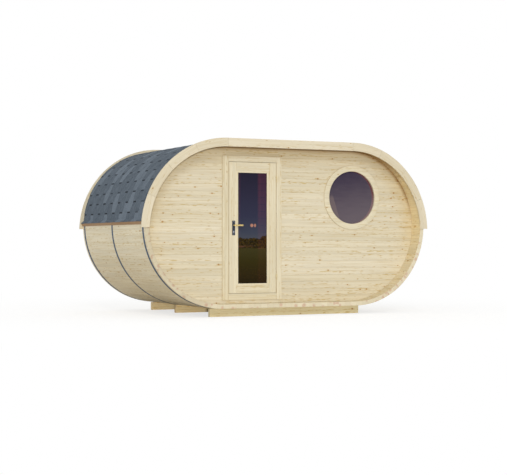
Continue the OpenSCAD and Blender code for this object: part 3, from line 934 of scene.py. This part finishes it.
class SAUNA_OT_walls(bpy.types.Operator):
    """Front and rear walls of level boards"""

    bl_idname = "sauna.walls"
    bl_label = "Walls"

    # Between the boards' ends and the staves
    CLEARANCE = 0.0005
    # A row lower than this is left out
    LEAST_ROW = 0.004
    # Edges that turn less than this, in radians, are joined
    STRAIGHT = 0.002

    def execute(self, context):
        settings = context.scene.sauna_wood
        # The walls get painted shade near the barrel's inner face
        wood = pine("wall_pine", settings.wall_colour, knots=0.45, barrel="wall")
        ring_low, ring_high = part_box("window_lining")
        hole = ((ring_low + ring_high) / 2, (ring_high.x - ring_low.x) / 2)
        panels = ("front_wall_left", "front_wall_over_door", "front_wall_under_door", "front_wall_right")
        for seed, node in enumerate(panels):
            self.panel(wood, settings, node, 100 + seed, hole if node == "front_wall_right" else None)
        self.panel(wood, settings, "rear_wall", 150, None)
        return {"FINISHED"}

    def outline(self, y):
        """The barrel's inner outline: half of it, then its mirror image."""
        bm = bmesh.new()
        centre = Vector((LOWER.x, y, LOWER.z))
        first = bm.verts.new(centre - Vector((0, 0, LOWER.inner - self.CLEARANCE)))
        bmesh.ops.spin(
            bm, geom=[first], cent=centre, axis=FORWARD, dvec=(0, 0, 0), angle=math.pi, steps=80,
            use_merge=False, use_duplicate=False,
        )
        bmesh.ops.mirror(
            bm, geom=bm.verts[:] + bm.edges[:], matrix=Matrix.Identity(4), merge_dist=NEARLY_SAME,
            axis="X",
        )
        ends = sorted((v for v in bm.verts if len(v.link_edges) == 1), key=lambda v: v.co.z)
        bm.edges.new(ends[:2])
        bm.edges.new(ends[2:])
        return bm

    def panel(self, wood, settings, node, seed, hole):
        low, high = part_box(node)
        whole = self.outline(low.y)
        if hole:
            centre, radius = hole
            place = Matrix.Translation((centre.x, low.y, centre.z)) @ Matrix.Rotation(math.pi / 2, 4, "X")
            bmesh.ops.create_circle(whole, cap_ends=False, radius=radius, segments=96, matrix=place)
        bmesh.ops.triangle_fill(
            whole, use_beauty=True, use_dissolve=False, edges=whole.edges[:], normal=FORWARD
        )
        cut(whole, (low.x, 0, 0), LEFT)
        cut(whole, (high.x, 0, 0), RIGHT)
        base = FLOOR_HIGH.z
        timber = Timber(node + "_boards", seed)
        rows = math.ceil((high.z - base) / settings.wall_board)
        for row in range(rows):
            z0 = max(base + row * settings.wall_board, low.z)
            z1 = min(base + (row + 1) * settings.wall_board, high.z)
            if z1 - z0 < self.LEAST_ROW:
                continue
            board = whole.copy()
            cut(board, (0, 0, z1 - settings.joint / 2), UP)
            cut(board, (0, 0, z0 + settings.joint / 2), DOWN)
            if not board.faces:
                board.free()
                continue
            bmesh.ops.dissolve_limit(
                board, angle_limit=self.STRAIGHT, use_dissolve_boundaries=False, verts=board.verts[:],
                edges=board.edges[:],
            )
            thicken(board, Vector((0, high.y - low.y, 0)))
            timber.add(board, *LEVEL)
        whole.free()
        timber.show(wood, "building", "wall_boards", node)


class SAUNA_OT_floor(bpy.types.Operator):
    """Floor boards on joists inside"""

    bl_idname = "sauna.floor"
    bl_label = "Floor"

    # Half the gap between two boards
    HALF_GAP = 0.0015

    def execute(self, context):
        settings = context.scene.sauna_wood
        wood = pine("floor_pine", scaled(settings.stave_colour, 0.93), knots=0.4)
        low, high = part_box("floor_boards")
        count = round((high.y - low.y) / settings.floor_board)
        width = (high.y - low.y) / count
        timber = Timber("floor_deck", 5)
        for i in range(count):
            y = low.y + i * width
            board = block((low.x, y + self.HALF_GAP, low.z), (high.x, y + width - self.HALF_GAP, high.z))
            timber.add(board, RIGHT, BACK, BOARD_EDGE)
        timber.show(wood, "building", "floor_wood", "floor_boards")
        dress("floor_joists", pine("joist_pine", settings.beam_colour, along="Y"))
        return {"FINISHED"}


class SAUNA_OT_shingles(bpy.types.Operator):
    """Courses of tabbed shingles over the roof and its flat top"""

    bl_idname = "sauna.shingles"
    bl_label = "Shingles"

    # All in metres: a shingle's thickness, how far a tab's lower edge stands proud of its top, how far the
    # next course but one laps over a strip, and how deep the printed shadow line above that lap is
    THICK = 0.0022
    PROUD = 0.0024
    LAP = 0.020
    PRINTED = 0.020
    # Course 0 is the first whole one above the eave. Of the lowest, only what shows beside tabs is left
    LOWEST = -2
    # Where course 1 has its lower edge, the middle of an odd course's first tab, and the shift of even ones
    FIRST_LINE = 0.179
    FIRST_TAB = -1.196
    STAGGER = 0.15
    # Courses and tabs that came from a paler batch, counted from the left eave and the front
    PALE = {
        (-1, 1), (-1, 3), (-1, 5), (-1, 7), (0, 0), (0, 2), (1, 2), (1, 4), (2, 5), (3, 1), (3, 2),
        (3, 8), (4, 2), (4, 4), (4, 5), (4, 7), (5, 3), (5, 6), (6, 3), (7, 2), (7, 5),
    }
    # Above this course, and on the right slope, a share of the tabs is pale
    HIGHEST_LISTED = 7
    PALE_SHARE = 0.14

    def execute(self, context):
        roof = context.scene.sauna_roof
        granules = bitumen("granules", roof)
        low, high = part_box("roof_right")
        top_low, top_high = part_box("roof_top")
        self.outer = ROOF.outer + top_high.z - top_low.z
        kick = ROOF.angle(self.outer, low.z + roof.kick)
        self.fold = math.radians(kick) * self.outer
        self.crown = math.pi / 2 * self.outer
        self.fold_point = self.arc_point(self.fold)
        self.eave_point = Vector((high.x, 0, low.z))
        self.foot = self.fold - (self.fold_point - self.eave_point).length
        for side, word in ((1, "right"), (-1, "left")):
            bm = self.slope(roof, side, low.y, high.y)
            nodes = ("roof_" + word, "roof_top") if side > 0 else ("roof_left",)
            show(bm, "shingles_" + word, granules, "building", nodes)
        return {"FINISHED"}

    def arc_point(self, distance, height=0.0):
        angle = distance / self.outer
        radius = self.outer + height
        return Vector((ROOF.x + radius * math.cos(angle), 0, ROOF.z + radius * math.sin(angle)))

    def wrap(self, distance, height):
        """Point on the right slope at a distance up it. Height counts up from its outer face."""
        if distance < self.fold:
            run = (self.eave_point - self.fold_point).normalized()
            out = Vector((-run.z, 0, run.x))
            if out.x < 0:
                out = -out
            return self.fold_point + run * (self.fold - distance) + out * height
        if distance > self.crown:
            return Vector((ROOF.x - (distance - self.crown), 0, ROOF.z + self.outer + height))
        return self.arc_point(distance, height)

    def slope(self, roof, side, y0, y1):
        whole = bmesh.new()
        uv = whole.loops.layers.uv.new("course")
        tone_layer = whole.faces.layers.float.new("tab_tone")
        line_layer = whole.faces.layers.float.new("shadow_line")
        chance = random.Random(31 + side)
        ridge = self.crown + ROOF.x
        course = self.LOWEST
        while self.line(roof, course) < ridge - self.LAP:
            start, head, crest = (self.line(roof, course + i) for i in range(3))
            strip = self.course(roof, course, (start, head, crest), y0, y1, ridge)
            verts = {}
            for v in strip.verts:
                distance = v.co.x
                sink = self.PROUD * (distance - start) / (head - start)
                place = self.wrap(distance, v.co.z - sink)
                verts[v] = whole.verts.new((side * place.x, v.co.y, place.z))
            tones = {}
            depths = {}
            for source in strip.faces:
                corners = [verts[v] for v in source.verts]
                face = whole.faces.new(corners if side > 0 else corners[::-1])
                middle = source.calc_center_median()
                tab = math.floor((middle.y - self.first_tab(course)) / roof.pitch + 0.5)
                if tab not in tones:
                    spread = chance.random()
                    listed = side < 0 and (course, tab) in self.PALE
                    free = side > 0 or course > self.HIGHEST_LISTED
                    pale = listed or (free and chance.random() < self.PALE_SHARE)
                    tones[tab] = 0.5 + 0.4 * spread if pale else 0.12 * spread
                    depths[tab] = chance.uniform(0.55, 1.0)
                face[tone_layer] = tones[tab]
                lined = middle.x > crest - self.PRINTED and course > self.LOWEST
                face[line_layer] = depths[tab] if lined else 0.0
                corner_list = source.loops if side > 0 else list(source.loops)[::-1]
                for loop, old in zip(face.loops, corner_list):
                    loop[uv].uv = (old.vert.co.y, old.vert.co.x + old.vert.co.z)
            strip.free()
            course += 1
        bmesh.ops.recalc_face_normals(whole, faces=whole.faces[:])
        return whole

    def first_tab(self, course):
        """Middle of the first tab of a course, counted from the front."""
        return self.FIRST_TAB + (self.STAGGER if course % 2 == 0 else 0.0)

    def line(self, roof, course):
        """Distance up the slope at which a course's tabs have their lower edges."""
        steps = course - 1
        return self.FIRST_LINE + steps * roof.exposure + steps * steps * roof.spread / 2

    def course(self, roof, course, lines, y0, y1, ridge):
        """One strip laid flat: X is the distance up the slope, Y runs along the eave, Z is height."""
        bm = bmesh.new()
        start, head, covered = lines
        crest = covered + self.LAP
        half = roof.pitch / 2
        foot_half = roof.tab_foot / 2
        head_half = roof.tab_head / 2
        middle = self.first_tab(course)
        while middle - half < y1:
            tab = [(start, middle - foot_half), (start, middle + foot_half),
                   (head, middle + head_half), (head, middle - head_half)]
            band = [(head, middle - half), (head, middle - head_half), (head, middle + head_half),
                    (head, middle + half), (crest, middle + half), (crest, middle - half)]
            for points in (tab, band):
                bm.faces.new([bm.verts.new((x, y, 0)) for x, y in points])
            middle += roof.pitch
        bmesh.ops.remove_doubles(bm, verts=bm.verts[:], dist=NEARLY_SAME)
        cut(bm, (0, y0, 0), FORWARD)
        cut(bm, (0, y1, 0), BACK)
        cut(bm, (self.foot, 0, 0), LEFT)
        cut(bm, (ridge, 0, 0), RIGHT)
        levels = [start + k * (head - start) / 4 for k in range(1, 5)]
        levels += [head + k * (covered - head) / 4 for k in range(1, 5)]
        levels += [self.fold, self.crown, covered - self.PRINTED]
        for level in levels:
            bmesh.ops.bisect_plane(
                bm, geom=bm.verts[:] + bm.edges[:] + bm.faces[:], plane_co=(level, 0, 0), plane_no=RIGHT,
                dist=SAME,
            )
        thicken(bm, Vector((0, 0, -self.THICK)))
        return bm


class SAUNA_OT_eaves(bpy.types.Operator):
    """Eave battens under the shingles' lower edges"""

    bl_idname = "sauna.eaves"
    bl_label = "Eave battens"

    def execute(self, context):
        stain = pine("eave_pine", context.scene.sauna_wood.eave_colour, along="Y", knots=0.2)
        dress("eave_battens", stain)
        return {"FINISHED"}


class SAUNA_OT_verges(bpy.types.Operator):
    """Curved and straight verge boards at both ends"""

    bl_idname = "sauna.verges"
    bl_label = "Verge boards"

    # Boards in one rounded corner, and half the gap between two of them, in degrees
    BOARDS = 4
    HALF_GAP = 0.04
    # Gap at each end of the straight board, in metres
    TOP_GAP = 0.0004

    def execute(self, context):
        settings = context.scene.sauna_wood
        wood = pine("verge_pine", settings.verge_colour, knots=0.2, streaks=0.6, contrast=0.6)
        turn = 90 / self.BOARDS
        for seed, node in enumerate(("verge_front", "verge_rear")):
            low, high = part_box(node)
            outer = settings.verge_radius
            centre_x = high.x - math.sqrt(outer**2 - (low.z - high.z + outer)**2)
            corner = Corner(centre_x, high.z - outer, outer - settings.verge_width, outer)
            timber = Timber(node + "_boards", 60 + seed)
            for side in (1, -1):
                for i in range(self.BOARDS):
                    first = turn * i + self.HALF_GAP if i else 0
                    last = turn * (i + 1) - self.HALF_GAP
                    board = arc_board(corner, side, first, last, low.y, high.y, steps=10)
                    if i == 0:
                        edges = cut(board, (0, 0, low.z), DOWN)
                        bmesh.ops.contextual_create(board, geom=edges)
                    middle = (first + last) / 2
                    timber.add(board, tangent(middle, side), ray(middle, side), VERGE_EDGE)
            half = corner.x - self.TOP_GAP
            top = block((-half, low.y, high.z - settings.verge_width), (half, high.y, high.z))
            timber.add(top, *LEVEL, VERGE_EDGE)
            timber.show(wood, "building", "verge_wood", node)
        return {"FINISHED"}


class SAUNA_OT_bands(bpy.types.Operator):
    """Steel tension bands"""

    bl_idname = "sauna.bands"
    bl_label = "Tension bands"

    def execute(self, context):
        dress("tension_bands", zinc("band_steel", context.scene.sauna_metal.band, 0.5, 0.1))
        return {"FINISHED"}


class SAUNA_OT_doorway(bpy.types.Operator):
    """Door frame and its casing boards"""

    bl_idname = "sauna.doorway"
    bl_label = "Doorway"

    def execute(self, context):
        settings = context.scene.sauna_wood
        leaf_low, leaf_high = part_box("door_stile_left")
        gap = (leaf_low.y, leaf_high.y)
        upright = pine("jamb_pine", settings.frame_colour, along="Z", knots=0.1, gap=gap)
        level = pine("head_pine", settings.frame_colour, along="X", knots=0.1, gap=gap)
        for node in ("door_jamb_left", "door_jamb_right"):
            dress(node, upright)
        for node in ("door_head", "door_sill"):
            dress(node, level)
        wood = pine("casing_pine", settings.frame_colour, knots=0.25, streaks=0.7)
        low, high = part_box("door_casing_sides")
        inner_low, inner_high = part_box("door_casing_ends")
        opening_low, opening_high = (corner.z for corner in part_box("door_jamb_left"))
        timber = Timber("door_casing", 70)
        for x0, x1 in ((low.x, inner_low.x), (inner_high.x, high.x)):
            timber.add(block((x0, low.y, low.z), (x1, high.y, high.z)), *UPRIGHT, BOARD_EDGE, 2)
        for z0, z1 in ((low.z, opening_low), (opening_high, high.z)):
            board = block((inner_low.x + CLEAR, low.y, z0), (inner_high.x - CLEAR, high.y, z1))
            timber.add(board, *LEVEL, BOARD_EDGE, 2)
        timber.show(wood, "building", "frame_wood", "door_casing_sides", "door_casing_ends")
        return {"FINISHED"}


class SAUNA_OT_window(bpy.types.Operator):
    """Round window: lining, trim rings and pane"""

    bl_idname = "sauna.window"
    bl_label = "Window"

    # Thickness of the lining, and bevel of the trim rings
    LINING = 0.02
    RING_EDGE = 0.004

    def execute(self, context):
        settings = context.scene.sauna_wood
        wood = pine("ring_pine", settings.frame_colour, along="X", knots=0.15, streaks=0.5)
        lining_low, lining_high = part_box("window_lining")
        inner = (lining_high.x - lining_low.x) / 2 - self.LINING
        for node in ("window_ring_outside", "window_ring_inside"):
            low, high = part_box(node)
            middle = (low + high) / 2
            outer = (high.x - low.x) / 2
            front = lining_high.y if node == "window_ring_inside" else low.y
            deep = high.y - front
            profile = [(0, inner), (0, outer), (deep, outer), (deep, inner)]
            bm = lathe(profile, (middle.x, front, middle.z), BACK, steps=128, closed=True)
            bevel(bm, self.RING_EDGE, 3, 1.0)
            show(bm, node + "_turned", wood, "building", (node,), smooth=0.7)
        dress("window_lining", pine("lining_pine", settings.frame_colour, along="Y", knots=0.0, streaks=0.4))
        low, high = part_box("window_pane")
        dress("window_pane", window_glass("window_glass", context.scene.sauna_glass, low, high))
        return {"FINISHED"}


class SAUNA_OT_door(bpy.types.Operator):
    """Door leaf: stiles, rails, glazing beads and pane"""

    bl_idname = "sauna.door"
    bl_label = "Door leaf"

    # Width of a glazing bead
    BEAD = 0.03

    def execute(self, context):
        settings = context.scene.sauna_wood
        low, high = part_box("door_stile_left")
        wood = pine("leaf_pine", settings.frame_colour, knots=0.15, streaks=0.6, gap=(low.y, high.y))
        uprights = ("door_stile_left", "door_stile_right")
        for seed, node in enumerate(uprights + ("door_rail_top", "door_rail_bottom")):
            timber = Timber(node + "_timber", 80 + seed)
            low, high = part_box(node)
            level = node not in uprights
            joint = Vector((CLEAR, 0, 0)) if level else Vector()
            board = block(low + joint, high - joint)
            timber.add(board, *(LEVEL if level else UPRIGHT), LEAF_EDGE, 2)
            timber.show(wood, "door", "leaf_wood", node)
        self.beads(settings)
        low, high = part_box("door_pane")
        dress("door_pane", door_glass("door_glass", context.scene.sauna_glass, low, high))
        return {"FINISHED"}

    def beads(self, settings):
        wood = pine("bead_pine", scaled(settings.frame_colour, 1.03), knots=0.0, streaks=0.5)
        low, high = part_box("door_beads")
        pane_low, pane_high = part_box("door_pane")
        timber = Timber("glazing_beads", 90)
        for front, back in ((low.y, pane_low.y), (pane_high.y, high.y)):
            outline, opening = (
                [(low.x + inset, low.z + inset), (high.x - inset, low.z + inset),
                 (high.x - inset, high.z - inset), (low.x + inset, high.z - inset)]
                for inset in (0, self.BEAD)
            )
            for i in range(4):
                j = (i + 1) % 4
                points = [outline[i], outline[j], opening[j], opening[i]]
                board = plate([(x, front, z) for x, z in points], Vector((0, back - front, 0)))
                level = i % 2 == 0
                timber.add(board, *(LEVEL if level else UPRIGHT), BOARD_EDGE, 2)
        timber.show(wood, "door", "leaf_wood", "door_beads")


class SAUNA_OT_hardware(bpy.types.Operator):
    """Hinges, lock plates and lever"""

    bl_idname = "sauna.hardware"
    bl_label = "Door hardware"

    # Lock plates, in metres: thickness, radius of the corners, and the distance of a screw from an end
    PLATE = 0.006
    PLATE_CORNER = 0.007
    SCREW = 0.014
    # The cylinder: how far it lies below the plate's middle, and half the width and the height of its foot
    KEY = 0.049
    KEY_FOOT_HALF = 0.0052
    KEY_FOOT = 0.021
    KEY_FOOT_PROUD = 0.0016
    # The lever: its spindle from its left end, and its grips' centre lines from its outermost faces
    SPINDLE = 0.010
    GRIP = 0.0115
    SPINDLE_RADIUS = 0.005
    # Turned profiles: distance out from the plate's face, and radius
    COLLAR = ((0, 0), (0, 0.0145), (0.0018, 0.0145), (0.003, 0.0125), (0.003, 0))
    CYLINDER = ((0, 0), (0, 0.0088), (0.0015, 0.0088), (0.002, 0.0083), (0.002, 0))
    SCREW_HEAD = ((0, 0), (0, 0.004), (0.0008, 0.0035), (0.0012, 0))

    def execute(self, context):
        metal = context.scene.sauna_metal
        hinge = zinc("hinge_zinc", metal.hinge, 0.3, 0.4)
        dress("hinge_frame_halves", hinge)
        dress("hinge_leaf_halves", hinge)
        self.plates(metal)
        self.lever(metal)
        return {"FINISHED"}

    def plates(self, metal):
        coat = lacquer("plate_lacquer", metal.plate)
        steel = zinc("lock_nickel", shade(190, 196, 205), 0.22)
        low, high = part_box("lock_plates")
        leaf_low, leaf_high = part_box("door_stile_left")
        lever_low, lever_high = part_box("door_lever")
        middle = (low.x + high.x) / 2
        spindle = (lever_low.z + lever_high.z) / 2
        key = (low.z + high.z) / 2 - self.KEY
        solids = []
        trims = []
        for face, side in ((leaf_low.y, -1), (leaf_high.y, 1)):
            outward = (0, side, 0)
            proud = face + side * self.PLATE
            near, far = sorted((face, proud))
            body = block((low.x, near, low.z), (high.x, far, high.z))
            corners = [e for e in body.edges if abs((e.verts[0].co - e.verts[1].co).normalized().y) > 0.9]
            rounded(body, corners, self.PLATE_CORNER, 5)
            bevel(body, 0.0012, 2, 1.0)
            solids.append(body)
            solids.append(lathe(self.COLLAR, (middle, proud, spindle), outward))
            trims.append(lathe(self.CYLINDER, (middle, proud, key), outward))
            half = self.KEY_FOOT_HALF
            foot = block((middle - half, near, key - self.KEY_FOOT), (middle + half, far, key))
            bmesh.ops.translate(foot, verts=foot.verts[:], vec=(0, side * self.KEY_FOOT_PROUD, 0))
            bevel(foot, 0.001, 2, 1.0)
            trims.append(foot)
            for z in (low.z + self.SCREW, high.z - self.SCREW):
                trims.append(lathe(self.SCREW_HEAD, (middle, proud, z), outward, 20))
        show(join(*solids), "lock_plate_pair", coat, "door", ("lock_plates",), smooth=0.6)
        show(join(*trims), "lock_cylinders", steel, "door", (), smooth=0.6)

    def lever(self, metal):
        gold = brass("lever_brass", metal.lever)
        low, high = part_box("door_lever")
        leaf_low, leaf_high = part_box("door_stile_left")
        middle_z = (low.z + high.z) / 2
        spindle_x = low.x + self.SPINDLE
        reach = high.x - spindle_x
        solids = []
        for face, side, end in ((leaf_low.y, -1, low.y), (leaf_high.y, 1, high.y)):
            axis_y = end - side * self.GRIP
            stand = abs(axis_y - face)
            neck = [(0.006, 0), (0.006, 0.0110), (0.014, 0.0104), (0.026, 0.0096), (stand - 0.014, 0.0096),
                    (stand - 0.004, 0.0110), (stand + 0.003, 0.0106), (stand + 0.0080, 0.0078),
                    (stand + 0.0108, 0.0034), (stand + 0.0113, 0)]
            solids.append(lathe(neck, (spindle_x, face, middle_z), (0, side, 0)))
            grip = [(-0.0098, 0), (-0.0090, 0.0050), (-0.005, 0.0095), (0.001, 0.0122), (0.016, 0.0118),
                    (0.06, 0.0114), (reach - 0.03, 0.0124), (reach - 0.010, 0.0126), (reach - 0.004, 0.0104),
                    (reach - 0.001, 0.0058), (reach, 0)]
            solids.append(lathe(grip, (spindle_x, axis_y, middle_z), RIGHT))
        through = leaf_high.y - leaf_low.y + 2 * self.PLATE
        rod = [(0, 0), (0, self.SPINDLE_RADIUS), (through, self.SPINDLE_RADIUS), (through, 0)]
        solids.append(lathe(rod, (spindle_x, leaf_low.y - self.PLATE, middle_z), BACK, 16))
        show(join(*solids), "brass_lever", gold, "lever", ("door_lever",), smooth=0.7)


class SAUNA_OT_stage(bpy.types.Operator):
    """Floor, lamps and camera"""

    bl_idname = "sauna.stage"
    bl_label = "Stage"

    CAMERA_PLACE = (-8.3573, -17.024, 0.9942)
    CAMERA_TURN = -0.458
    CAMERA_SHIFT = (-0.001, 0.0122)
    # Each lamp: place, the point it is turned to, and its width
    KEY = ((-19.7, -46.9, 29.7), (0.0, 0.0, 1.2), 15.2)
    FILL = ((-29.8, -68.2, 2.5), (0.0, 0.0, 0.6), 4.8)
    # Distances from the middle between which the floor turns plain white, and half its width
    SHADED = 3.0
    PLAIN = 7.0
    FLOOR_HALF = 60

    def execute(self, context):
        settings = context.scene.sauna_stage
        scene = context.scene
        scene.view_settings.view_transform = "Standard"
        self.world(scene, settings)
        self.floor(scene)
        self.lamp(scene, "key", *self.KEY, settings.key)
        self.lamp(scene, "fill", *self.FILL, settings.fill)
        self.camera(scene, settings)
        return {"FINISHED"}

    def world(self, scene, settings):
        """Even light on the pieces, and plain white where the sky itself is seen."""
        world = bpy.data.worlds.new("even_sky")
        world.use_nodes = True
        tree = world.node_tree
        tree.nodes.clear()
        output = tree.nodes.new("ShaderNodeOutputWorld")
        path = tree.nodes.new("ShaderNodeLightPath")
        mix = tree.nodes.new("ShaderNodeMixShader")
        for socket, strength in ((1, settings.sky), (2, 1.0)):
            light = tree.nodes.new("ShaderNodeBackground")
            light.inputs["Strength"].default_value = strength
            light.inputs["Color"].default_value = WHITE
            tree.links.new(light.outputs[0], mix.inputs[socket])
        seen = path.outputs["Is Camera Ray"]
        for ray in ("Is Glossy Ray", "Is Transmission Ray"):
            either = tree.nodes.new("ShaderNodeMath")
            either.operation = "MAXIMUM"
            tree.links.new(seen, either.inputs[0])
            tree.links.new(path.outputs[ray], either.inputs[1])
            seen = either.outputs[0]
        tree.links.new(seen, mix.inputs[0])
        tree.links.new(mix.outputs[0], output.inputs["Surface"])
        scene.world = world

    def floor(self, scene):
        """A pale floor that keeps the shadow near the building and is plain white farther away."""
        finish = Finish("pale_floor")
        x, y, z = finish.place()
        speck = finish.noise((x, y, z), 3.0, 3.0)
        base = finish.mix(speck, shade(168, 168, 167), shade(172, 172, 171))
        far = ((x * x + y * y) ** 0.5).ramp(self.SHADED, self.PLAIN)
        shaded = finish.shader("ShaderNodeBsdfDiffuse", Color=base)
        paler = finish.shader("ShaderNodeEmission", Color=WHITE, Strength=0.7)
        near = finish.node("ShaderNodeAddShader", None, {0: shaded, 1: paler}).outputs[0]
        plain = finish.shader("ShaderNodeEmission", Color=WHITE, Strength=1.0)
        seen = finish.node("ShaderNodeMixShader", None, {0: far, 1: near, 2: plain}).outputs[0]
        dim = finish.shader("ShaderNodeBsdfDiffuse", Color=(0.8, 0.8, 0.8, 1.0))
        path = finish.node("ShaderNodeLightPath").outputs["Is Camera Ray"]
        both = finish.node("ShaderNodeMixShader", None, {0: path, 1: dim, 2: seen}).outputs[0]
        bm = bmesh.new()
        bmesh.ops.create_grid(bm, x_segments=8, y_segments=8, size=self.FLOOR_HALF)
        mesh = bpy.data.meshes.new("floor")
        bm.to_mesh(mesh)
        bm.free()
        mesh.materials.append(finish.show(both))
        floor = bpy.data.objects.new("floor", mesh)
        scene.collection.objects.link(floor)

    def lamp(self, scene, name, place, target, size, power):
        data = bpy.data.lights.new(name, "AREA")
        data.energy = power
        data.shape = "DISK"
        data.size = size
        lamp = bpy.data.objects.new(name, data)
        lamp.location = place
        lamp.rotation_euler = (Vector(target) - Vector(place)).to_track_quat("-Z", "Y").to_euler()
        scene.collection.objects.link(lamp)

    def camera(self, scene, settings):
        data = bpy.data.cameras.new("camera")
        data.sensor_width = 36
        data.lens = settings.lens
        data.shift_x, data.shift_y = self.CAMERA_SHIFT
        data.clip_end = 200
        camera = bpy.data.objects.new("camera", data)
        camera.location = self.CAMERA_PLACE
        camera.rotation_euler = (math.pi / 2, 0, self.CAMERA_TURN)
        scene.collection.objects.link(camera)
        scene.camera = camera


OPERATORS = (
    SAUNA_OT_stage, SAUNA_OT_beams, SAUNA_OT_staves, SAUNA_OT_walls, SAUNA_OT_floor, SAUNA_OT_shingles,
    SAUNA_OT_eaves, SAUNA_OT_verges, SAUNA_OT_bands, SAUNA_OT_doorway, SAUNA_OT_window, SAUNA_OT_door,
    SAUNA_OT_hardware,
)
SETTINGS = {
    "sauna_wood": SaunaWood,
    "sauna_roof": SaunaRoof,
    "sauna_metal": SaunaMetal,
    "sauna_glass": SaunaGlass,
    "sauna_stage": SaunaStage,
}


class SAUNA_PT_panel(bpy.types.Panel):
    """Sizes, colours and pieces of the sauna"""

    bl_idname = "SAUNA_PT_panel"
    bl_label = "Oval sauna"
    bl_space_type = "VIEW_3D"
    bl_region_type = "UI"
    bl_category = "Sauna"

    def draw(self, context):
        for name, group in SETTINGS.items():
            box = self.layout.box()
            box.label(text=group.__doc__)
            for setting in group.__annotations__:
                box.prop(getattr(context.scene, name), setting)
        for operator in OPERATORS:
            self.layout.operator(operator.bl_idname)


def register():
    for group in SETTINGS.values():
        bpy.utils.register_class(group)
    for name, group in SETTINGS.items():
        setattr(bpy.types.Scene, name, PointerProperty(type=group))
    for operator in OPERATORS:
        bpy.utils.register_class(operator)
    bpy.utils.register_class(SAUNA_PT_panel)


def unregister():
    bpy.utils.unregister_class(SAUNA_PT_panel)
    for operator in reversed(OPERATORS):
        bpy.utils.unregister_class(operator)
    for name in SETTINGS:
        delattr(bpy.types.Scene, name)
    for group in SETTINGS.values():
        bpy.utils.unregister_class(group)


def main():
    register()
    for operator in OPERATORS:
        group, name = operator.bl_idname.split(".")
        getattr(getattr(bpy.ops, group), name)()


if __name__ == "__main__":
    main()
